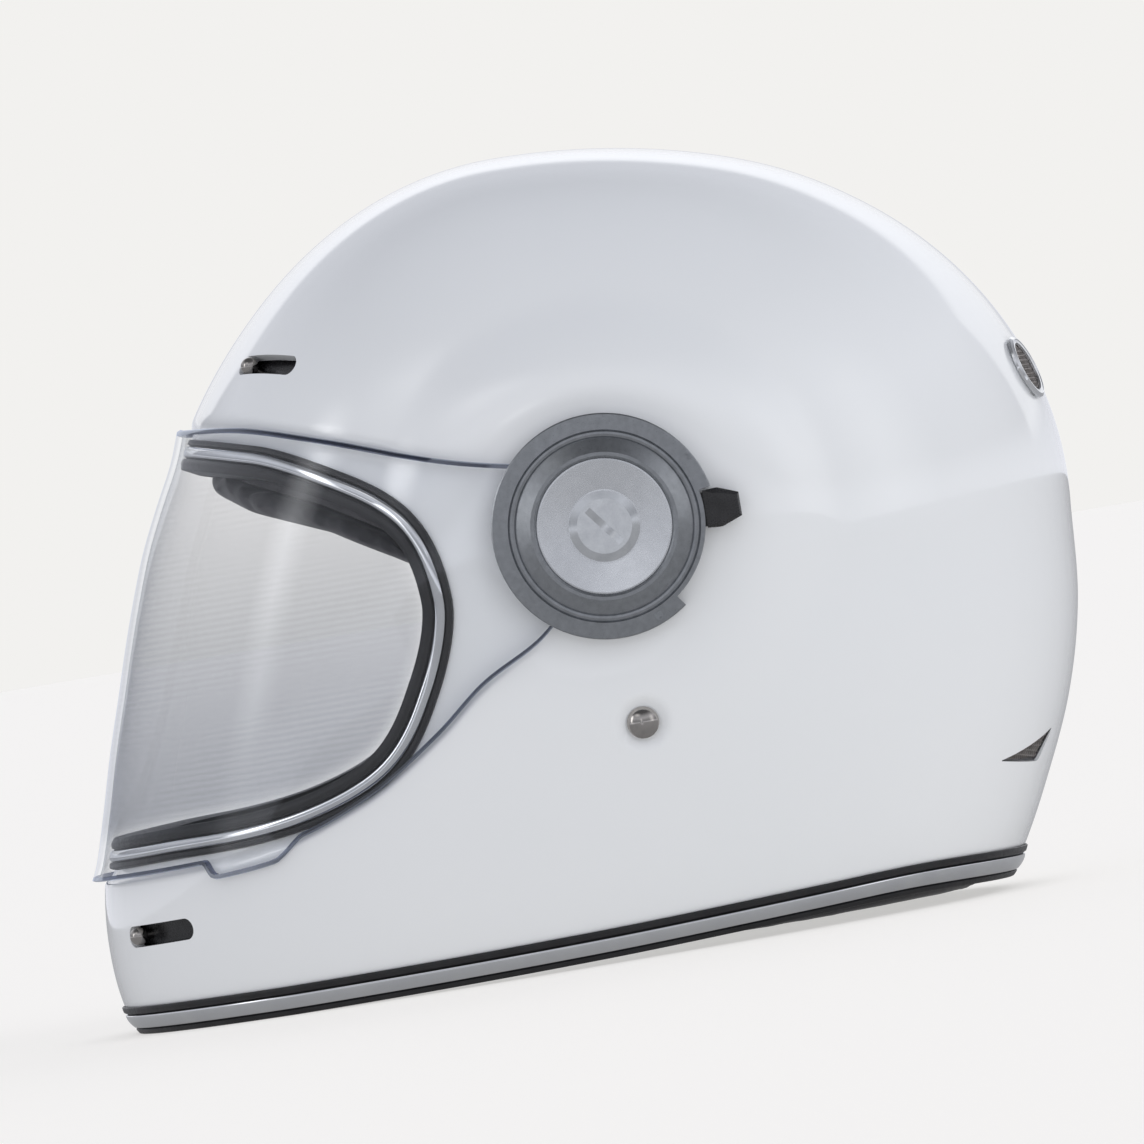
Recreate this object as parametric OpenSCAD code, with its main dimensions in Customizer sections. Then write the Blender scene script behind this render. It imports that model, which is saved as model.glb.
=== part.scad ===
// Full-face motorcycle helmet in a classic round style, resting on its rim.
// +X is the wearer's left, -Y the front (the visor side) and +Z up. Millimetres.

/* [Shell] */
// Half of the greatest width of the shell
shell_half_w = 124; // [120:0.5:128]
// Height of the shell's widest ring above the ground
widest_z = 123; // [120:0.5:126]
// Height of the dome above the widest ring
dome_h = 142; // [138:0.5:146]
// Wall thickness of the shell
shell_wall = 3.6; // [3:0.1:4]
// Depth of the bed that the visor lies in
bed_depth = 3; // [2.6:0.1:3.2]

/* [Visor] */
// Thickness of the visor sheet
visor_wall = 2.2; // [1.8:0.1:2.4]
// How far the visor's outer face stands out from the shell's full outline
visor_proud = 1.6; // [1.4:0.1:2]

/* [Pivot] */
// Place of the visor's pivot axis, front to back
pivot_y = 15.6; // [14:0.1:17]
// Height of the visor's pivot axis
pivot_z = 139; // [137:0.1:141]
// Outer radius of the pivot cover
cover_r = 36.2; // [35:0.1:37]
// Radius of the hub that the visor and the lock lever turn on
hub_r = 9; // [8:0.1:10]
// Radial running clearance on the hub
running = 0.05; // [0.02:0.01:0.1]
// Travel of the lock lever, in degrees
lever_travel = 42; // [30:1:44]

/* [Trim] */
// Width of the chrome band round the eyeport
eye_chrome_w = 4.3; // [3.5:0.1:5]
// Height of the chrome band round the rim
rim_chrome_h = 4.7; // [4:0.1:5]
// Total height of the rim gasket
rim_gasket_h = 9.6; // [9:0.1:10]

/* [Liner] */
// Inset of the impact liner's outer face from the shell's outline
foam_out = 7.2; // [7:0.1:8]
// Inset of the impact liner's inner face
foam_in = 34; // [30:0.5:36]
// Inset of the comfort liner's inner face
comfort_in = 44; // [42:0.5:46]

/* [Vents] */
// Height of the brow and chin vent slots
slot_h = 7; // [6:0.1:8]
// Diameter of the vent knobs
knob_d = 6; // [5:0.1:7]
// Outer radius of the round rear vents
rear_vent_r = 11; // [10:0.1:12]

/* [Hidden] */

// Stations of the shell's outline. Below the widest ring they are [height, value]; above it
// [angle up the dome, radius], so that every dome line closes smoothly at the crown.
FRONT_LOW = [[0, -161.5], [10, -166.3], [30, -168], [50, -166], [70, -160.5], [95, -152], [123, -142]];
FRONT_DOME = [[0, 142], [8, 136.5], [16, 133.5], [30, 131], [50, 127], [90, 124.5]];
REAR_LOW = [[0, 126], [10, 133.5], [30, 144.5], [60, 158], [90, 166], [123, 169]];
REAR_DOME = [[0, 169], [30, 175.5], [50, 181.5], [65, 188], [90, 187]];
WIDTH_LOW = [[0, -23.5], [10, -19.5], [30, -13], [60, -6], [90, -1.5], [123, 0]];
MIDDLE_LOW = [[0, -14], [30, -8], [60, 0], [90, 7], [123, 10]];
middle_top = 10;      // where the rings are widest, front to back, at the widest ring
plan_power = 2.2;     // superellipse power of every ring
dome_power = 2.25;    // superellipse power of the dome seen from the front

// The visor's front outline [height, y], its top and bottom edges [ring angle, height], and
// the bed's lower and upper edges on the shell [y, height].
VISOR_FRONT = [[50, -171], [56, -168], [72, -163], [92, -157.3], [110, -151.5], [126, -146.4],
               [141, -141.2], [156, -135.4], [170, -128.6], [183, -121.8], [194, -117.6]];
VISOR_TOP = [[0, 193.5], [35, 190], [56, 181], [76.5, 167], [87, 161]];
VISOR_LOW = [[0, 52], [41, 53], [56, 56.5], [66, 67], [73, 81.5], [78, 95], [84, 105.5], [87, 114]];
BED_LOW = [[-172, 50], [-130, 50.5], [-100, 54], [-87, 58], [-69, 65.5], [-47, 80], [-32, 92],
           [-12, 103], [0, 107]];
BED_TOP = [[-125, 195], [-95, 191], [-67, 182], [-27, 168], [0, 160]];

// The eyeport's line [distance along, ring angle, height]; its first and last rows mirror
// their neighbours, so that the line crosses the middle of the helmet squarely.
EYEPORT = [[-80, -38, 178.5], [0, 0, 185], [80, 38, 178.5], [122, 57, 165], [148, 67.5, 149],
           [173, 71.5, 124], [198, 70, 99], [226, 65, 75], [252, 53, 64.5], [300, 30, 62],
           [360, 0, 61], [420, -30, 62]];
eyeport_len = 360;
edge_lift = 3;         // height of the shell's lower edge above the underside of the rim
RIM_LIFT = [[-170, 0], [-110, 0], [-9, 1.6], [60, 4], [95, 5], [135, 3.4]];

// Parts of the pivot, as distances from the middle plane.
flat_x = 122;              // flat land on the shell round the pivot
ear_x = 124.2;             // inner face of the visor's ear
lever_x = 126.6;           // inner face of the lock lever's disc
lever_t = 1.1;
cover_x = 127.9;           // underside of the pivot cover
ear_r = 27;
flat_r = 38;
flat_fade = 76;
screw_r = 5;
slot_cutter_r = 22;        // the disc that mills the round-bottomed slot in the screw's head

function clamp01(v) = min(max(v, 0), 1);
function smooth(v) = let (c = clamp01(v)) c * c * (3 - 2 * c);
function spow(v, p) = sign(v) * pow(abs(v), p);
function unit(v) = v / norm(v);

// A smooth curve through the stations of a table, taking one of its columns.
function span_at(table, v, i = 0) = i >= len(table) - 2 || v < table[i + 1][0] ? i : span_at(table, v, i + 1);
function tangent_at(table, i, c) =
    let (a = max(i - 1, 0), b = min(i + 1, len(table) - 1))
    (table[b][c] - table[a][c]) / (table[b][0] - table[a][0]);
function curve(table, v, c = 1) =
    let (i = span_at(table, v), p = table[i], q = table[i + 1], h = q[0] - p[0], s = (v - p[0]) / h)
    (1 + 2 * s) * pow(1 - s, 2) * p[c] + s * pow(1 - s, 2) * h * tangent_at(table, i, c)
    + s * s * (3 - 2 * s) * q[c] - s * s * (1 - s) * h * tangent_at(table, i + 1, c);

// A level is a height in mm up to the widest ring, and then widest_z plus the dome's angle.
function level(z) = z <= widest_z ? z : widest_z + asin(min(1, (z - widest_z) / dome_h));
function level_z(s, d) = s <= widest_z ? s : widest_z + (dome_h - d) * sin(s - widest_z);
function front(s, d) = s <= widest_z ? curve(FRONT_LOW, s) + d
    : -(curve(FRONT_DOME, s - widest_z) - d) * cos(s - widest_z);
function rear(s, d) = s <= widest_z ? curve(REAR_LOW, s) - d
    : (curve(REAR_DOME, s - widest_z) - d) * cos(s - widest_z);
function half_w(s, d) = s <= widest_z ? shell_half_w + curve(WIDTH_LOW, s) - d
    : (shell_half_w - d) * pow(max(0, 1 - pow(sin(s - widest_z), dome_power)), 1 / dome_power);
function middle(s) = s <= widest_z ? curve(MIDDLE_LOW, s) : middle_top * cos(s - widest_z);

// A point of a ring: t is 0 at the front, 90 at the left side and 180 at the back; d is inset.
function ring_pt(t, s, d, fr) =
    let (m = middle(s), len = cos(t) >= 0 ? m - fr : rear(s, d) - m)
    [half_w(s, d) * spow(sin(t), 2 / plan_power), m - len * spow(cos(t), 2 / plan_power), level_z(s, d)];
function base(t, s, d = 0) = ring_pt(t, s, d, front(s, d));

// The bed of the visor, and the flat land round the pivots, which pulls x towards a plane.
function bed(p) = bed_depth * smooth((p[2] - curve(BED_LOW, min(p[1], 0))) / 4)
    * smooth((-2 - p[1]) / 12) * smooth((curve(BED_TOP, min(p[1], 0)) + 3 - p[2]) / 9);
function land(p, x) =
    let (r = norm([p[1] - pivot_y, p[2] - pivot_z]), f = 1 - smooth((r - flat_r) / (flat_fade - flat_r)))
    abs(p[0]) < 60 ? p : [p[0] + f * (sign(p[0]) * x - p[0]), p[1], p[2]];
function skin(t, s, d = 0) = land(base(t, s, d + bed(base(t, s))), flat_x - d);

// The visor's faces; d is the depth below its outer face. Its land lies level with the ears.
function visor_pt(t, z, d) =
    let (s = level(z), p = ring_pt(t, s, d - visor_proud, curve(VISOR_FRONT, z) + d))
    land([p[0], p[1], z], ear_x + visor_wall - d);

// A point on the shell from its place in the side view, on the left half.
function side_pt(y, z) =
    let (s = level(z), m = middle(s), len = y < m ? m - front(s, 0) : rear(s, 0) - m,
         c = pow(clamp01(abs(y - m) / len), plan_power / 2), t = y < m ? acos(c) : 180 - acos(c))
    [t, s];
function skin_at(y, z, d = 0) = let (q = side_pt(y, z)) skin(q[0], q[1], d);
function normal(t, s) = unit(cross(skin(t, s + 0.3) - skin(t, s - 0.3), skin(t - 0.3, s) - skin(t + 0.3, s)));
function normal_at(y, z) = let (q = side_pt(y, z)) normal(q[0], q[1]);

// Faces of a sweep: rows of n points, wrapped round each row, and round the rows if closed.
// An open sweep's ends are ladders of triangles between the two halves of the row.
function sweep_faces(rows, n, closed) = concat(
    [for (i = [0 : rows - (closed ? 1 : 2)], j = [0 : n - 1], k = [0, 1])
        let (m = (j + 1) % n, up = (i + 1) % rows * n, a = i * n + j, b = i * n + m, c = up + j, e = up + m)
        k == 0 ? [a, c, e] : [a, e, b]],
    closed ? [] : [for (j = [0 : n / 2 - 2], k = [0, 1], end = [0, 1])
        let (q = k == 0 ? [j, j + 1, n - 2 - j] : [j, n - 2 - j, n - 1 - j], top = (rows - 1) * n)
        end == 0 ? q : [for (i = [2, 1, 0]) top + q[i]]]);
module sweep(sections, closed = false) {
    n = len(sections[0]);
    polyhedron([for (s = sections) each s], sweep_faces(len(sections), n, closed), convexity = 8);
}

// A closed body inside the shell's outline at inset d, from height low to the crown.
// The shell's own levels lie closer together where the visor's bed begins and ends.
OUTER_LEVELS = concat([edge_lift, 12, 24, 38, 46, 50, 54, 58, 64, 72, 80, 88, 96, 104, 113],
    [for (a = [0, 7, 13, 17, 21, 24.5, 27.5, 30, 32, 36, 44, 54, 64, 74, 84]) widest_z + a]);
INNER_LEVELS = concat([-8, 6, 24, 44, 50, 56, 64, 76, 88, 100, 112],
    [for (a = [0, 10, 17, 24, 28, 32, 40, 52, 64, 76, 84]) widest_z + a]);
function levels(low, n_low, n_dome, top = 84) = concat(
    [for (i = [0 : n_low - 1]) low + (widest_z - low) * i / n_low],
    [for (i = [0 : n_dome]) widest_z + top * i / n_dome]);
function body_points(d, lv, n, bedded, lifted) = [for (s = lv) [for (j = [0 : n - 1])
    let (t = 360 * j / n, low = lifted ? max(s, edge_lift + rim_z(base(t, 5)[1])) : s)
    bedded ? skin(t, low, d) : base(t, low, d)]];
module shell_body(d, low, n_low, n_dome, n, bedded = false)
    level_body(d, levels(low, n_low, n_dome), n, bedded);
module level_body(d, lv, n, bedded = true, lifted = false) {
    rows = len(lv);
    sides = [for (i = [0 : rows - 2], j = [0 : n - 1], k = [0, 1])
        let (a = i * n + j, b = i * n + (j + 1) % n, c = a + n, e = b + n) k == 0 ? [a, c, e] : [a, e, b]];
    roof = [for (j = [0 : n - 1]) [(rows - 1) * n + j, rows * n, (rows - 1) * n + (j + 1) % n]];
    floor = [for (j = [0 : n - 1]) [j, (j + 1) % n, rows * n + 1]];
    ends = [[0, 0, widest_z + dome_h - d], [0, middle(0), lv[0]]];
    polyhedron(concat([for (r = body_points(d, lv, n, bedded, lifted)) each r], ends),
        concat(floor, sides, roof), convexity = 8);
}

// One mesh from the shapes inside it, at their own size.
module one_mesh() resize([0, 0, 0]) children();

// A flat outline in the side view [y, z], cut right through the helmet.
module through_x(outline, half = 140) {
    rotate([90, 0, 90]) linear_extrude(2 * half, center = true) polygon(outline);
}
module at_pivot() translate([0, pivot_y, pivot_z]) rotate([0, 90, 0]) children();
module mirrored(right) if (right) mirror([1, 0, 0]) children(); else children();

// Frames on the surface. The local z axis is the outward normal, and x runs towards the back.
module on_surface(y, z) {
    p = skin_at(y, z);
    n = normal_at(y, z);
    place(p, n, unit(skin_at(y + 1, z) - skin_at(y - 1, z))) children();
}
module place(p, n, along) {
    v = unit(cross(n, along));
    u = cross(v, n);
    multmatrix([[u[0], v[0], n[0], p[0]], [u[1], v[1], n[1], p[1]], [u[2], v[2], n[2], p[2]]]) children();
}

// The eyeport's line at distance u from its top middle; the right half has negative u.
function eye_ts(u) = u >= 0 ? [curve(EYEPORT, u, 1), level(curve(EYEPORT, u, 2))]
    : [-curve(EYEPORT, -u, 1), level(curve(EYEPORT, -u, 2))];
function eye_pt(u) = let (q = eye_ts(u)) skin(q[0], q[1]);
function eye_section(u, profile) =
    let (q = eye_ts(u), n = normal(q[0], q[1]), p = eye_pt(u),
         run = unit(eye_pt(min(u + 1, eyeport_len)) - eye_pt(max(u - 1, -eyeport_len))),
         out = cross(n, run))
    [for (k = profile) p + k[0] * out + k[1] * n];
module eye_sweep(profile, stations = 72)
    sweep([for (i = [0 : stations - 1]) eye_section(eyeport_len * (2 * i / stations - 1), profile)], true);
function eye_side(grow) = [for (u = [0 : 12 : eyeport_len])
    let (p = eye_section(u, [[grow, 0]])[0]) [p[1], p[2]]];
function eye_outline(grow) = let (e = eye_side(grow))
    concat([[-200, e[0][1]]], e, [[-200, e[len(e) - 1][1]]]);

// The rim: profiles are [out from the shell, height above the rim's underside].
function rim_z(y) = max(0, curve(RIM_LIFT, y));
function rim_section(t, profile) =
    let (lift = rim_z(base(t, 5)[1]), ahead = base(t + 1, 5 + lift), back = base(t - 1, 5 + lift),
         run = unit([ahead[0] - back[0], ahead[1] - back[1], 0]), out = [run[1], -run[0], 0])
    [for (k = profile) base(t, lift + k[1]) + k[0] * out];
module rim_sweep(profile, stations = 72)
    sweep([for (i = [0 : stations - 1]) rim_section(-360 * i / stations, profile)], true);

// Pivot parts: profiles are [radius, distance from the middle plane]; angle 0 points backwards
// and 90 upwards in the side view from the wearer's left.
module turned(profile) at_pivot() rotate_extrude($fn = 96) polygon(profile);
module sector(from, to, r1, r2, x1, x2)
    at_pivot() rotate([0, 0, from + 90]) rotate_extrude(angle = to - from, $fn = 96)
        translate([r1, x1]) square([r2 - r1, x2 - x1]);
module pivot_at(angle, r) at_pivot() rotate([0, 0, angle + 90]) translate([r, 0, 0]) children();

// Vent slots: an arc on the shell from the front end to the rear end, given in the side view.
// arc_of gives its centre, axis, radius, angle and the direction of its middle.
CHIN_SLOT = [[-159.2, 32.4], [-137.3, 32.9]];
BROW_SLOT = [[-92.3, 210.4], [-74.4, 206.9]];
slot_play = 6.6;       // depth of the slider's middle below the shell's outer face
slider_half_w = 5.5;
slider_t = 1.5;
track_depth = 9.6;
track_half_w = 7.8;
knob_travel = 20;      // along the slot
knob_lift = -1;        // height of the knob's centre above the shell's outer face, clear of the visor
function arc_of(slot) =
    let (a = skin_at(slot[0][0], slot[0][1]), b = skin_at(slot[1][0], slot[1][1]),
         mid = (slot[0] + slot[1]) / 2,
         chord = b - a, e = unit(chord), n0 = normal_at(mid[0], mid[1]), n = unit(n0 - (n0 * e) * e),
         h = (skin_at(mid[0], mid[1]) - (a + b) / 2) * n, r = (chord * chord / 4 + h * h) / (2 * h),
         c = (a + b) / 2 + (h - r) * n)
    [c, unit(cross(a - c, b - c)), r, 2 * asin(norm(chord) / 2 / r), n];
module on_arc(arc) {
    y = cross(arc[1], arc[4]);
    multmatrix([[arc[4][0], y[0], arc[1][0], arc[0][0]], [arc[4][1], y[1], arc[1][1], arc[0][1]],
                [arc[4][2], y[2], arc[1][2], arc[0][2]]]) children();
}
function degrees_of(arc, mm) = mm / arc[2] * 180 / PI;
module arc_sector(arc, from, to, profile)
    on_arc(arc) rotate([0, 0, from]) rotate_extrude(angle = to - from, $fn = 180) polygon(profile);
function band(r1, r2, h) = [[r1, -h], [r2, -h], [r2, h], [r1, h]];
module slot_cut(arc) {
    end = arc[3] / 2 - degrees_of(arc, slot_h / 2);
    on_arc(arc) hull() for (a = [-end, end])
        rotate([0, 90, a]) translate([0, 0, arc[2] - 12]) cylinder(r = slot_h / 2, h = 24, $fn = 32);
}
module vent_pocket(arc) arc_sector(arc, -arc[3] / 2 - degrees_of(arc, 6), arc[3] / 2 + degrees_of(arc, 28),
    band(arc[2] - track_depth - 1, arc[2] + 4, track_half_w + 1.5));

rear_vent_at = [160.2, 167.6];
GRILLE = [[130, 42.6], [149.6, 50.4], [142.8, 40.2]];
grille_mid = [141, 44.6];
grille_round = 0.8;
strap_y = 17.4;
rivet_z = 75;
rivet_r = 3;
rivet_head_r = 5.15;
strap_w = 26;
strap_t = 1.8;
// The left strap's middle line [x, z], from the anchor under the cheek pad and up inside it.
STRAP = [[112.6, 83], [112.4, 75], [108, 50], [101.6, 30], [98.2, 19], [91, 13.4], [66, 13],
         [57.5, 16], [55.6, 24]];
strap_top = 58;
ring_bar = [49.9, 60];
FOAM_EDGE = [[-200, 191], [-124, 191], [-96, 172], [-73, 161], [-50, 147], [-36, 126], [-30, 84]];
BROW_EDGE = [[-200, 182], [-122, 182], [-96, 163], [-73, 153], [-47, 137], [-40, 122]];
function foam_keep(rear_z) = concat(FOAM_EDGE,
    [[60, 84], [92, rear_z], [200, rear_z], [200, 300], [-200, 300]]);

module outer_shell() color("whitesmoke") one_mesh() difference() {
    level_body(0, OUTER_LEVELS, 64, true, true);
    level_body(shell_wall, INNER_LEVELS, 48);
    through_x(eye_outline(0.6));
    translate([0, pivot_y, pivot_z]) rotate([0, 90, 0]) cylinder(r = 7.1, h = 300, center = true, $fn = 32);
    for (a = [60, -60]) pivot_at(a, 20) cylinder(r = 1.5, h = 300, center = true, $fn = 16);
    translate([0, strap_y, rivet_z]) rotate([0, 90, 0])
        cylinder(r = rivet_r + 0.1, h = 300, center = true, $fn = 24);
    for (right = [false, true]) mirrored(right) {
        translate([119.6, strap_y, rivet_z]) rotate([0, 90, 0]) cylinder(r = 8.3, h = 9, $fn = 40);
        slot_cut(arc_of(CHIN_SLOT));
        slot_cut(arc_of(BROW_SLOT));
        on_surface(rear_vent_at[0], rear_vent_at[1])
            cylinder(r = rear_vent_r - 1.4, h = 24, center = true, $fn = 40);
        grille_shape(-9, 20, 0.6);
    }
}

module eps_crown_liner() color("dimgray") one_mesh() difference() {
    intersection() {
        shell_body(foam_out, 30, 7, 10, 44, true);
        through_x(foam_keep(44));
    }
    shell_body(foam_in, 20, 6, 9, 36);
    translate([0, pivot_y, pivot_z]) rotate([0, 90, 0]) for (x = [-130, 110])
        translate([0, 0, x]) cylinder(r = 12, h = 20, $fn = 24);
    for (right = [false, true]) mirrored(right) vent_pocket(arc_of(BROW_SLOT));
}

module eps_chin_liner() color("dimgray") one_mesh() difference() {
    intersection() {
        shell_body(foam_out, 8, 10, 3, 64, true);
        through_x([[-200, 14.5], [-46, 14.5], [-46, 40], [-54, 54], [-200, 54]]);
    }
    shell_body(28, 2, 8, 4, 48);
    for (right = [false, true]) mirrored(right) vent_pocket(arc_of(CHIN_SLOT));
}

module comfort_crown_liner() color([0.13, 0.13, 0.14]) one_mesh() difference() {
    intersection() {
        shell_body(foam_in + 0.3, 20, 6, 9, 36);
        through_x(foam_keep(60));
    }
    shell_body(comfort_in, 30, 5, 8, 32);
}

module brow_pad() color([0.1, 0.1, 0.11]) one_mesh() difference() {
    intersection() {
        shell_body(foam_out + 0.4, 60, 5, 12, 48, true);
        through_x(concat([for (i = [0 : len(FOAM_EDGE) - 2]) FOAM_EDGE[i] - [0.3, 0.3]],
            [for (i = [len(BROW_EDGE) - 1 : -1 : 0]) BROW_EDGE[i]]));
    }
    shell_body(comfort_in, 50, 4, 9, 40);
}

module cheek_pad(right = false) color([0.12, 0.12, 0.13]) mirrored(right) one_mesh() difference() {
    intersection() {
        shell_body(12.2, 10, 8, 3, 40);
        through_x([[-43, 18], [-43, 44], [-30, 82], [56, 82], [62, 60], [62, 18]]);
    }
    translate([-200, -200, 0]) cube([200 + 58, 400, 300]);
}

module neck_roll() color([0.08, 0.08, 0.09]) {
    n = 10;
    sweep([for (t = [252 : -6 : 108])
        let (p = base(t, 6, 15), ahead = base(t + 1, 6, 15), back = base(t - 1, 6, 15),
             run = unit([ahead[0] - back[0], ahead[1] - back[1]]))
        [for (j = [0 : n - 1]) let (a = 360 * (j + 0.5) / n, o = 8 * cos(a))
            [p[0] + o * run[1], p[1] - o * run[0], 8 + 8 * sin(a)]]]);
}

module eyeport_gasket() color([0.05, 0.05, 0.05]) eye_sweep([[6.8, 0.1], [6.5, 1.6], [4.8, 1.8], [4.7, 0.7],
    [0.1, 0.7], [-0.1, 1.7], [-1.8, 2], [-3.8, 1.2], [-3.8, -5.4], [3, -5.5], [3, -4.1],
    [-1.5, -4.1], [-1.5, 0.1]]);
module eyeport_trim() color("silver")
    eye_sweep([[0.3, 0.8], [0.3 + eye_chrome_w - 0.2, 0.8], [4.2, 1.6], [2.3, 2.1], [0.6, 1.7]]);

module rim_gasket() color([0.05, 0.05, 0.05]) rim_sweep([[0.15, rim_gasket_h], [1.1, rim_gasket_h - 0.3],
    [1.4, 7.4], [0.6, 7], [0.6, 1.9], [1.5, 1.6], [1.3, 0], [-6, 0], [-6.2, 9], [-4.6, 9],
    [-4.4, 2.8], [0.15, 2.8]]);
module rim_trim() color("silver")
    rim_sweep([[0.7, 2], [0.7, 2 + rim_chrome_h], [1.4, 6.6], [1.9, 4.4], [1.4, 2.1]]);

// The visor is one sheet: a row of points up its outer face and down its inner one at each
// station, from the right ear round the front to the left ear.
visor_rows = 9;
visor_end = 87;            // ring angle where the sheet meets the ears
ear_angles = [-28, -14, 0, 14, 28, 42, 56, 70, 84];
// The left half's lower edge carries a small tab to lift the visor by.
function tab_drop(t) = 5.5 * smooth((t - 41) / 3.5) * smooth((57 - t) / 3.5);
function sheet_row(t) =
    let (a = abs(t), low = curve(VISOR_LOW, a) - tab_drop(t), high = curve(VISOR_TOP, a),
         zs = [for (j = [0 : visor_rows]) low + (high - low) * j / visor_rows])
    concat([for (z = zs) visor_pt(t, z, 0)],
        [for (j = [visor_rows : -1 : 0]) visor_pt(t, zs[j], visor_wall)]);
function ear_row(side, a) =
    let (y = pivot_y + ear_r * sin(a), c = ear_r * cos(a),
         zs = [for (j = [0 : visor_rows]) pivot_z - c + 2 * c * j / visor_rows])
    concat([for (z = zs) [side * (ear_x + visor_wall), y, z]],
        [for (j = [visor_rows : -1 : 0]) [side * ear_x, y, zs[j]]]);
module visor() color([0.85, 0.9, 0.95, 0.4]) difference() {
    sweep(concat([for (i = [len(ear_angles) - 1 : -1 : 0]) ear_row(-1, ear_angles[i])],
        [for (i = [-29 : 29]) sheet_row(visor_end * i / 29)], [for (a = ear_angles) ear_row(1, a)]));
    at_pivot() cylinder(r = hub_r + running, h = 300, center = true, $fn = 96);
}

module pivot_insert(right = false) color("silver") mirrored(right)
    turned([[5.05, 115.6], [9.5, 115.6], [9.5, 117.2], [7, 117.2], [7, 123.9], [5.05, 123.9]]);
module pivot_base(right = false) color([0.1, 0.1, 0.1]) mirrored(right) difference() {
    turned([[7.1, 122.15], [30, 122.15], [30, 124], [hub_r, 124], [hub_r, 127.8], [7.7, 127.8], [7.7, 127.2],
            [5.15, 127.2], [5.15, 124.1], [7.1, 124.1]]);
    for (a = [60, -60]) pivot_at(a, 20) {
        cylinder(r = 1.5, h = 130, $fn = 24);
        translate([0, 0, 122.7]) cylinder(r = 2.8, h = 3, $fn = 24);
    }
}
module pivot_washer(right = false) color("silver") mirrored(right)
    turned([[5.2, 127.3], [7.5, 127.3], [7.5, 127.82], [5.2, 127.82]]);
module pivot_cover(right = false) color("gray") mirrored(right) difference() {
    union() {
        turned([[5.15, cover_x], [cover_r, cover_x], [cover_r, cover_x + 1.1], [cover_r - 0.4, cover_x + 1.4],
                [30.9, cover_x + 1.9], [30.6, cover_x + 1.4], [30.2, cover_x + 1.8], [29.5, cover_x + 2],
                [28.8, cover_x + 1.8], [28.4, cover_x + 1.4],
                [23.7, cover_x + 4.3], [22.6, cover_x + 4.3], [22, cover_x + 3.7], [22, cover_x + 0.65],
                [5.15, cover_x + 0.65]]);
        sector(236, 444, 33.4, cover_r, flat_x + 0.3, cover_x + 0.2);
        pivot_at(30, 33.6) padlock(true);
        pivot_at(-68, 33.6) padlock(false);
    }
    sector(-53.5, 11.4, 32.3, cover_r + 2, flat_x, cover_x + 3);
}
// A small raised padlock, its shackle pointing outwards.
module padlock(open) translate([0, 0, cover_x + 1.5]) {
    translate([-1.4, -1.3, 0]) cube([1.8, 2.6, 0.5]);
    translate([open ? 0.8 : 0.3, open ? 0.5 : 0, 0]) difference() {
        cylinder(r = 1.1, h = 0.5, $fn = 32);
        translate([0, 0, -0.1]) cylinder(r = 0.6, h = 0.7, $fn = 32);
        translate([-2, -2, -0.1]) cube([2, 4, 0.7]);
    }
}
module pivot_dish(right = false) color("lightgray") mirrored(right)
    turned([[5.15, 128.65], [21.7, 128.65], [21.7, 131.2], [21.2, 131.4], [11.8, 129.85], [5.15, 129.85]]);
module pivot_screw(right = false) color("lightgray") mirrored(right) difference() {
    turned([[0, 116], [screw_r, 116], [screw_r, 129.9], [11.4, 129.9], [11.4, 131], [8.8, 131.9],
        [0, 131.9]]);
    pivot_at(-52, 0) translate([0, 0, 130.6 + slot_cutter_r]) rotate([90, 0, 0])
        cylinder(r = slot_cutter_r, h = 2.3, center = true, $fn = 128);
}
module lock_lever(right = false) color([0.07, 0.07, 0.08]) mirrored(right) {
    difference() {
        union() {
            at_pivot() translate([0, 0, lever_x]) cylinder(r = 31, h = lever_t, $fn = 96);
            pivot_at(0, 0) translate([29, -5.5, lever_x]) cube([5, 11, lever_t]);
            pivot_at(0, 0) hull() {
                translate([32.6, -6, 124]) cube([3, 12, 5.8]);
                translate([36.4, -6.3, 124.2]) cube([1, 12.6, 5.4]);
                translate([36, -4.6, 124]) cube([1, 9.2, 7.4]);
                translate([43.2, -3.8, 124.8]) cube([0.8, 7.6, 4]);
                translate([42.6, -3, 124.8]) cube([0.8, 6, 5.2]);
            }
        }
        at_pivot() cylinder(r = hub_r + running, h = 200, $fn = 96);
    }
}
module base_screws() color("silver") for (right = [false, true]) mirrored(right)
    for (a = [60, -60]) pivot_at(a, 20) {
        translate([0, 0, 117]) cylinder(r = 1.4, h = 6, $fn = 24);
        translate([0, 0, 122.75]) cylinder(r = 2.6, h = 1.1, $fn = 24);
    }

module strap_rivets() color("silver") for (right = [false, true]) mirrored(right)
    translate([0, strap_y, rivet_z]) rotate([0, 90, 0]) {
        translate([0, 0, 109.6]) cylinder(r = rivet_r, h = 10.6, $fn = 32);
        translate([0, 0, 109.2]) cylinder(r = 5, h = 1.2, $fn = 32);
        intersection() {
            translate([0, 0, 116.3]) sphere(r = 6.3, $fn = 64);
            translate([0, 0, 119.9]) cylinder(r = rivet_head_r, h = 6, $fn = 64);
        }
    }
module strap_anchor(right = false) color("silver") mirrored(right) difference() {
    translate([113.7, strap_y - 12, rivet_z - 4.5]) cube([1.2, 24, 9.5]);
    translate([100, strap_y, rivet_z]) rotate([0, 90, 0]) cylinder(r = rivet_r + 0.1, h = 30, $fn = 32);
}
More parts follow.
